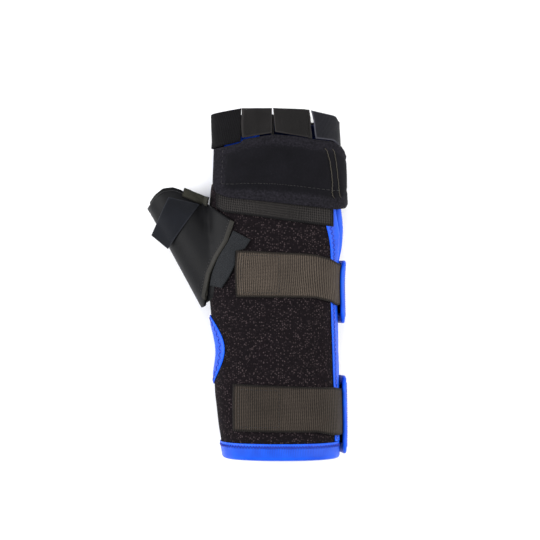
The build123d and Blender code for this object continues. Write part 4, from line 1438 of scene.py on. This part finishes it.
def woven(name, dark, light, edge, warp_mm, slant, roughness, sheen, fuzz_strength):
    """A twill or satin strap: slanted ribs warp_mm apart, paler along its cut edges."""
    material, tree = new_material(name)
    cloth = node(tree, "Attribute", attribute_name="weave")
    rim = node(tree, "Attribute", attribute_name="rim")
    place = node(tree, "TexCoord")
    split = node(tree, "SeparateXYZ", {0: cloth.outputs["Vector"]})
    tilted = node(tree, "Math", {0: split.outputs[1], 1: slant, 2: split}, operation="MULTIPLY_ADD")
    wave = node(tree, "Math", {0: tilted, 1: 2 * math.pi / warp_mm}, operation="MULTIPLY")
    twill = node(tree, "Math", {0: wave}, operation="SINE")
    fuzz = node(tree, "TexNoise", {"Vector": place.outputs["Object"], "Scale": 1100.0, "Detail": 5.0})
    height = node(
        tree, "Math", {0: fuzz, 1: fuzz_strength, 2: twill}, operation="MULTIPLY_ADD"
    )
    mixed = node(tree, "MapRange", {0: height, 1: -1.0, 2: 1.0 + fuzz_strength})
    yarn = node(tree, "Mix", {0: mixed, 6: linear(dark), 7: linear(light)}, data_type="RGBA")
    cut = node(tree, "MapRange", {0: rim.outputs["Fac"], 1: 0.2, 2: 1.1})
    edged = node(tree, "Mix", {0: cut, 6: linear(edge), 7: yarn.outputs[2]}, data_type="RGBA")
    soil = node(tree, "TexNoise", {"Vector": place.outputs["Object"], "Scale": 60.0, "Detail": 5.0})
    tint = node(tree, "MapRange", {0: soil, 1: 0.3, 2: 0.7, 3: 0.75, 4: 1.15})
    toned = node(tree, "VectorMath", {0: edged.outputs[2], "Scale": tint}, operation="SCALE")
    raised = node(tree, "Bump", {"Strength": 0.5, "Distance": 0.0003, "Height": height})
    surface = node(
        tree,
        "BsdfPrincipled",
        {
            "Base Color": toned,
            "Roughness": roughness,
            "Specular IOR Level": 0.1,
            "Sheen Weight": sheen,
            "Normal": raised,
        },
    )
    node(tree, "OutputMaterial", {"Surface": surface})
    return material


# brushed loop fabric with a broken, fuzzy rib; polyester twill with slanted ribs; smooth shiny satin webbing
brushed = woven("brushed_loop_strap", "#030304", "#141315", "#0C0B0D", 1.3, 0.2, 0.95, 0.01, 2.5)
twill = woven("polyester_twill_strap", "#0A0A0A", "#222020", "#2E2C2C", 0.8, 1.0, 0.7, 0.01, 0.5)
satin = woven("satin_webbing_strap", "#0A0A0E", "#1A1A20", "#44444C", 0.9, 0.0, 0.45, 0.01, 0.3)

FINGER_IN, FINGER_OUT = 1.3, 2.7
middle = (FINGER_IN + FINGER_OUT) / 2


left_angle = 201.0
index_low = fine([(-25.2, 111.9), (-41.5, 108.4)], middle, 14)
index_low += [(float(a), 107.9) for a in np.linspace(index_low[-1][0], left_angle, 6)[1:]]
index_high = fine([(-25.0, 134.4), (-41.5, 131.8)], middle, 14)
index_high += [(float(a), 131.2) for a in np.linspace(index_high[-1][0], left_angle, 6)[1:]]
little_side = [(float(from_side(z, 125.0, middle)), z) for z in (25.0, 22.0, 19.5)]
little_low = fine([(24.2, 113.8), (36.5, 112.8), (39.6, 110.6)], middle, 14)
little_low += [(a, 107.4) for a, _ in little_side if a < little_low[-1][0] - 1]
little_high = fine([(20.8, 133.0), (37.5, 129.8)], middle, 14)
little_high += [(a, 126.4) for a, _ in little_side if a < little_high[-1][0] - 1]

FINGERS = [  # name, low and high edge from fold to free end, material, pivot, towards the free end
    ("index", index_low, index_high, brushed, (-0.0251, 0.12245, 0.0341), (-1, 0)),
    (
        "middle",
        fine([(-4.8, 117.4), (-24.2, 114.2)], middle),
        fine([(-4.6, 134.4), (-24.2, 134.4)], middle),
        twill,
        (-0.0047, 0.1252, 0.0350),
        (-1, 0),
    ),
    (
        "ring",
        fine([(24.0, 113.6), (-2.4, 118.2)], middle),
        fine([(22.4, 133.6), (-3.8, 134.4)], middle),
        twill,
        (0.0199, 0.1236, 0.0339),
        (-1, 0),
    ),
    ("little", little_low[::-1], little_high[::-1], satin, (0.0413, 0.1185, 0.0195), (0, 1)),
]
for finger, low, high, cloth_of, pivot, (to_x, to_z) in FINGERS:
    def rest(grid, u, v, long_u, long_v, finger=finger):
        """Each strap lies a little unevenly, with its free end proud."""
        wave = 0.25 * waviness(grid, 9, len(finger) * 1.7)
        if finger == "ring":
            wave = wave - 1.5 * (1 - ease(u, 2.5, 5.5))
        return wave + 0.6 * ease(u, long_u - 5, long_u) * (0.4 + 0.6 * v / long_v)

    band, flat = plan_sheet(
        "finger_strap_" + finger + "_band",
        low,
        high,
        [low[0], high[0]],
        [low[-1], high[-1]],
        middle,
        0.68,
        (1.2, 1.2),
        cloth_of,
        rest,
    )
    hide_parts("finger_strap_" + finger)
    start = tuple(np.array(pivot))
    end = (pivot[0] + to_x * 0.004, pivot[1], pivot[2] + to_z * 0.004)
    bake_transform(band)

WEBS = [("index", -24.6, 131.0), ("middle", -4.2, 131.0), ("ring", 20.5, 130.0)]
for finger, x, y_high in WEBS:
    box_low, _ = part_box(finger + "_web")
    ys = np.linspace(box_low.y * 1000 + 0.3, y_high, 9)
    _, cz, _, b = section(ys)
    cx, _, a, _ = section(ys)
    up = (b - 7.9) * (1 - (np.abs(x - cx) / (a - 7.9)) ** SQUARENESS) ** (1 / SQUARENESS)
    low = path(np.stack([np.full(9, x), ys, cz - up + 0.1], axis=-1))
    high = path(np.stack([np.full(9, x), ys, cz + up - 0.1], axis=-1))
    start = path([low(np.array([0.0]))[0], high(np.array([0.0]))[0]])
    end = path([low(np.array([1.0]))[0], high(np.array([1.0]))[0]])
    grid, u, v, long_u, long_v = blanket(low, high, start, end, (1.2, 1.2), 0.9)
    bow = grid.copy()
    bow[..., 0] += 0.25 * waviness(grid, 7, x)
    web = fabric(
        finger + "_finger_web", bow, u, v, long_u, long_v, 0.9, 0.9, twill, heart=bow - np.array([20.0, 0, 0])
    )
    fix(web, "brace", "webbing", finger + "_web")

# ---------------------------------------------------------------- thumb sleeve
# A tapering sleeve of 2 mm neoprene faced with nylon jersey, sewn into the wrap's thumb opening, with
# its butt seam on the palm side and a cut end at the thumb's tip.

def jersey_neoprene(name, edge_attribute, cut_dark, cut_light, cut_from, cut_to):
    """Neoprene faced with nylon jersey of 0.8 mm loops; its foam shows within cut_from mm of the edge."""
    material, tree = new_material(name)
    edge = node(tree, "Attribute", attribute_name=edge_attribute)
    place = node(tree, "TexCoord")
    jersey = node(tree, "TexVoronoi", {"Vector": place.outputs["Object"], "Scale": 1000 / 0.8})
    cloud = node(tree, "TexNoise", {"Vector": place.outputs["Object"], "Scale": 80.0, "Detail": 4.0})
    black = node(tree, "Mix", {0: cloud, 6: linear("#020203"), 7: linear("#0B0B0E")}, data_type="RGBA")
    cells = node(tree, "TexNoise", {"Vector": place.outputs["Object"], "Scale": 1500.0, "Detail": 3.0})
    foam = node(tree, "Mix", {0: cells, 6: linear(cut_dark), 7: linear(cut_light)}, data_type="RGBA")
    inner = node(tree, "MapRange", {0: edge.outputs["Fac"], 1: cut_from, 2: cut_to})
    colour = node(tree, "Mix", {0: inner, 6: foam.outputs[2], 7: black.outputs[2]}, data_type="RGBA")
    knit = node(tree, "Bump", {"Strength": 0.3, "Distance": 0.0002, "Height": jersey.outputs["Distance"]})
    surface = node(
        tree,
        "BsdfPrincipled",
        {
            "Base Color": colour.outputs[2],
            "Roughness": 0.5,
            "Specular IOR Level": 0.12,
            "Sheen Weight": 0.02,
            "Sheen Roughness": 0.35,
            "Sheen Tint": linear("#9A9AA8"),
            "Normal": knit,
        },
    )
    node(tree, "OutputMaterial", {"Surface": surface})
    return material


# nearly black with a soft grey shine, and a thin grey line of foam at its cut ends
neoprene = jersey_neoprene("nylon_faced_neoprene", "rim", "#161615", "#161615", 0.5, 1.0)

RING = np.array([-75.7, 77.6, 21.0])  # centre of the thumb's exit
ROOT = np.array([-33.0, 14.0, 27.0])
THUMB_LENGTH = 76.6
OUTWARD = np.array([-0.848, -0.530, 0.0])
TIPWARD = np.array([-0.530, 0.848, 0.0])
UP = np.array([0.0, 0.0, 1.0])
SLEEVE_T = 2.0


def thumb_radii(t, grow):
    """Half width and half height of the sleeve, t from 0 at its tip to 1 at its root."""
    return 13.0 + 7.0 * t + grow, 12.0 + 4.5 * t + grow


def on_thumb(s, turn, grow):
    """Points on the sleeve's surface: s mm back from its tip, turn degrees from outwards towards up."""
    s, turn, grow = np.broadcast_arrays(
        np.asarray(s, float), np.asarray(turn, float), np.asarray(grow, float)
    )
    t = s / THUMB_LENGTH
    a, b = thumb_radii(t, grow)
    centre = RING + (ROOT - RING) * t[..., None]
    c, n = np.cos(np.radians(turn))[..., None], np.sin(np.radians(turn))[..., None]
    return centre + OUTWARD * a[..., None] * c + UP * b[..., None] * n


def outside_limb(points, offset):
    """Above 1 where points lie outside the limb's surface."""
    cx, cz, a, b = section(points[..., 1])
    level = (np.abs(points[..., 0] - cx) / (a + offset)) ** SQUARENESS
    level += (np.abs(points[..., 2] - cz) / (b + offset)) ** SQUARENESS
    return level ** (1 / SQUARENESS)


RING_EDGE = np.array(
    [(-95, 62.5), (-87.4, 71.2), (-83, 76.4), (-77.2, 80.8), (-70.6, 81.8), (-64.7, 79.8), (-52, 72)]
)
turns = np.linspace(-100.0, 260.0, 61)
tips, roots = [], []
for turn in turns:
    s = np.linspace(-6.0, THUMB_LENGTH, 340)
    line = on_thumb(s, turn, 0.0)
    past_tip = line[:, 1] > np.interp(line[:, 0], RING_EDGE[:, 0], RING_EDGE[:, 1])
    tip = s[np.flatnonzero(past_tip)[-1]] if past_tip.any() else s[0]
    inside = np.flatnonzero((outside_limb(line, -0.6) < 1) & (s > tip + 4))
    tips.append((float(turn), float(tip)))
    roots.append((float(turn), float(s[inside[0]]) if len(inside) else THUMB_LENGTH))
grid, u, v, long_u, long_v = blanket(
    path(tips), path(roots), path([tips[0], roots[0]]), path([tips[-1], roots[-1]]), (4.5, 2.0), 1.0
)
ridge = 0.25 * waviness(grid, 30, 6.0)
centre = RING + (ROOT - RING) * (grid[..., 1:2] / THUMB_LENGTH)
sleeve = fabric(
    "thumb_sleeve_tube",
    on_thumb(grid[..., 1], grid[..., 0], -SLEEVE_T / 2),
    u,
    v,
    long_u,
    long_v,
    0.95,
    0.95,
    neoprene,
    relief=ridge * ease(v, 1, 6),
    heart=centre,
)
fix(sleeve, "brace", "neoprene", "thumb_sleeve")

# ---------------------------------------------------------------- thumb flap and its hook tab
# A flap of the same neoprene folds over the top of the sleeve and on to the back of the hand. Its free
# edge shows the bare foam, and a scrap of hook tape sewn to it holds it down on the pile.

FLAP_IN, FLAP_OUT = 0.85, 2.6


def over_both(x, y, grow):
    """Height of the skin over both the sleeve and the limb at a plan position."""
    p = np.stack([x - RING[0], y - RING[1]], axis=-1)
    s = -(p @ TIPWARD[:2])
    t = s / THUMB_LENGTH
    w = p @ OUTWARD[:2] - ((ROOT - RING) @ OUTWARD) * t
    a, b = thumb_radii(t, grow)
    # past its inner side the sheet bridges level over the web of the thumb
    reach = np.clip(w / a, -0.9, 1.0)
    thumb = RING[2] + (ROOT[2] - RING[2]) * t + b * np.sqrt(1 - reach**2)
    cx, cz, ra, rb = section(y)
    ra, rb = ra + grow, rb + grow
    across = np.clip(np.abs(x - cx) / ra, 0, 1)
    limb = np.where(np.abs(x - cx) < ra, cz + rb * (1 - across**SQUARENESS) ** (1 / SQUARENESS), 0.0)
    # a soft fillet where the two meet
    k = 2.5
    high, low = np.maximum(thumb, limb), np.minimum(thumb, limb)
    return high + np.where(low > 0, k * np.log1p(np.exp(-(high - low) / k)) * 0.35, 0)


THUMB_UP = np.array([-14.0, 6.0, 26.0])  # roughly out of the sleeve's top, in mm


def draped(name, low, high, start, end, grow, half, cell, material, warp=1.0, rim=None, **kind):
    """A sheet over the sleeve and the hand between four plan edges; warp above 1 crowds lines at the fold."""
    edges = [path(e) for e in (low, high, start, end)]
    if warp != 1.0:
        bend = [lambda t, f=f: f(np.asarray(t) ** warp) for f in edges[:2]]
        edges = bend + edges[2:]
    grid, u, v, long_u, long_v = blanket(*edges, cell, half)
    if warp != 1.0:
        s = (u / long_u) ** warp
        lo, hi = edges[0](u[0] / long_u), edges[1](u[0] / long_u)
        st, en = edges[2](v[:, 0] / long_v), edges[3](v[:, 0] / long_v)
        t = (v / long_v)[..., None]
        s3 = s[..., None]
        grid = (1 - t) * lo[None] + t * hi[None] + (1 - s3) * st[:, None] + s3 * en[:, None]
        grid = grid - (1 - s3) * (1 - t) * lo[0] - s3 * (1 - t) * lo[-1]
        grid = grid - (1 - s3) * t * hi[0] - s3 * t * hi[-1]
    z = over_both(grid[..., 0], grid[..., 1], grow)
    mid = np.concatenate([grid, z[..., None]], axis=-1)
    piece = fabric(
        name, mid, u, v, long_u, long_v, half, rim or half, material, heart=mid - THUMB_UP, **kind
    )
    return piece, mid


grow = (FLAP_IN + FLAP_OUT) / 2
fold = []
for s in np.linspace(81.0, 9.0, 24):
    t = s / THUMB_LENGTH
    centre = RING + (ROOT - RING) * t
    point = centre + OUTWARD * thumb_radii(t, grow)[0] * 0.9995
    fold.append((float(point[0]), float(point[1])))
fold = [p for p in fold if p[1] > 0.5] + [(-88.6, 67.6)]
free_edge = [(-48.3, 9.5), (-45.2, 23.8), (-40.3, 34.5), (-33.7, 44.9), (-29.3, 58.0)]
root_edge = [fold[0], (-48.8, 2.5), (-48.3, 9.5)]
tip_edge = [fold[-1], (-86.2, 70.0), (-83.0, 74.2), (-77.2, 78.6), (-70.6, 79.6), (-64.7, 77.6)]
tip_edge += [(-53.0, 72.0), (-48.6, 71.1), (-29.3, 58.0)]

# the same neoprene, with 3.3 mm of bare foam along the flap's free edge and a row of stitches inside it
flap_neoprene = jersey_neoprene("neoprene_with_bare_edge", "free_edge", "#141412", "#302E2A", 2.9, 3.4)

flap, _ = draped(
    "thumb_flap_sheet", root_edge, tip_edge, fold, free_edge, grow, 1.0, (1.5, 1.8), flap_neoprene, warp=1.7
)
# distance to the free edge, for the bare foam
points = np.array([v.co[:2] for v in flap.data.vertices]) * 1000
line = path(free_edge)(np.linspace(0, 1, 80))
near = np.min(np.linalg.norm(points[:, None] - line[None], axis=2), axis=1)
edge = flap.data.attributes.new("free_edge", "FLOAT", "POINT")
edge.data.foreach_set("value", near.astype(np.float32))

rows = []
line = path(free_edge)
ts = np.linspace(0.02, 0.98, 24)
for t in ts:
    here = line(t + np.array([0, 0.006, 0.013, 0.02, 0.025]) * 0.8)
    here = here + np.array([-3.6, 1.6])
    z = over_both(here[:, 0], here[:, 1], FLAP_OUT) + np.array([-0.2, 0.1, 0.16, 0.1, -0.2])
    rows.append(np.concatenate([here, z[:, None]], axis=-1))
flap = joined(flap, tubes("thumb_flap_stitches", rows, 0.2, black_thread, sides=5))
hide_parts("thumb_flap")
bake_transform(flap)

outer = [(-37.6, 14.5), (-33.0, 21.1), (-28.6, 29.6), (-28.2, 38.6), (-22.4, 40.2), (-18.5, 46.2)]
inner_edge = [(-45.6, 16.2), (-44.3, 23.8), (-40.0, 34.6), (-33.4, 45.0), (-30.2, 52.4)]
tab, tab_mid = draped(
    "thumb_hook_scrap",
    [inner_edge[0], outer[0]],
    [inner_edge[-1], outer[-1]],
    inner_edge,
    outer,
    1.55,
    0.8,
    (1.2, 1.2),
    hooks,
)
fix(tab, "thumb_flap", "hook_fastener", "thumb_hook_tab")

# olive-grey plain-woven tape that binds the flap's end at the web of the thumb
web_tape = woven("olive_woven_end_tape", "#161612", "#44433A", "#1E1D19", 1.0, 0.0, 0.8, 0.02, 0.6)
end_tape, _ = draped(
    "thumb_web_tape",
    [(-64.6, 75.4), (-47.8, 68.6)],
    [(-63.0, 81.2), (-46.2, 74.6)],
    [(-64.6, 75.4), (-63.0, 81.2)],
    [(-47.8, 68.6), (-46.2, 74.6)],
    3.3,
    0.6,
    (1.0, 1.0),
    web_tape,
)
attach(end_tape, "thumb_flap")

# ---------------------------------------------------------------- thumb strap
# A short twill strap sewn to the flap near the thumb's tip. Its free end stands out past the sleeve.

# blue-black polyester twill, ribs 0.8 mm apart, paler at its cut edges
strap_twill = woven("thumb_strap_twill", "#07080C", "#181A20", "#22242A", 0.8, 1.0, 0.6, 0.02, 0.4)
STRAP_GROW = 3.65


def strap_height(x, y, grow):
    """Height of the strap: over the sleeve's top, then straight out and down."""
    p = np.stack([x - RING[0], y - RING[1]], axis=-1)
    t = -(p @ TIPWARD[:2]) / THUMB_LENGTH
    w = p @ OUTWARD[:2] - ((ROOT - RING) @ OUTWARD) * t
    a, b = thumb_radii(t, grow)
    leave = a * math.cos(math.radians(36))
    on = np.clip(w, -a * 0.999, leave)
    z = RING[2] + (ROOT[2] - RING[2]) * t + b * np.sqrt(1 - (on / a) ** 2)
    return z - np.maximum(w - leave, 0) * 0.68


corners = [(-73.3, 74.9), (-52.8, 70.0), (-85.3, 49.6), (-73.9, 40.4)]
grid, u, v, long_u, long_v = blanket(
    path([corners[0], corners[1]]),
    path([corners[2], corners[3]]),
    path([corners[0], corners[2]]),
    path([corners[1], corners[3]]),
    (1.1, 1.1),
    0.6,
)
z = strap_height(grid[..., 0], grid[..., 1], STRAP_GROW)
z += 0.9 * ease(v, long_v - 9, long_v)
mid = np.concatenate([grid, z[..., None]], axis=-1)
thumb_band = fabric(
    "thumb_strap_band",
    mid,
    u,
    v,
    long_u,
    long_v,
    0.6,
    0.6,
    strap_twill,
    heart=mid - np.array([-8.0, 0.0, 20.0]),
)
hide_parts("thumb_strap")
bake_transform(thumb_band)
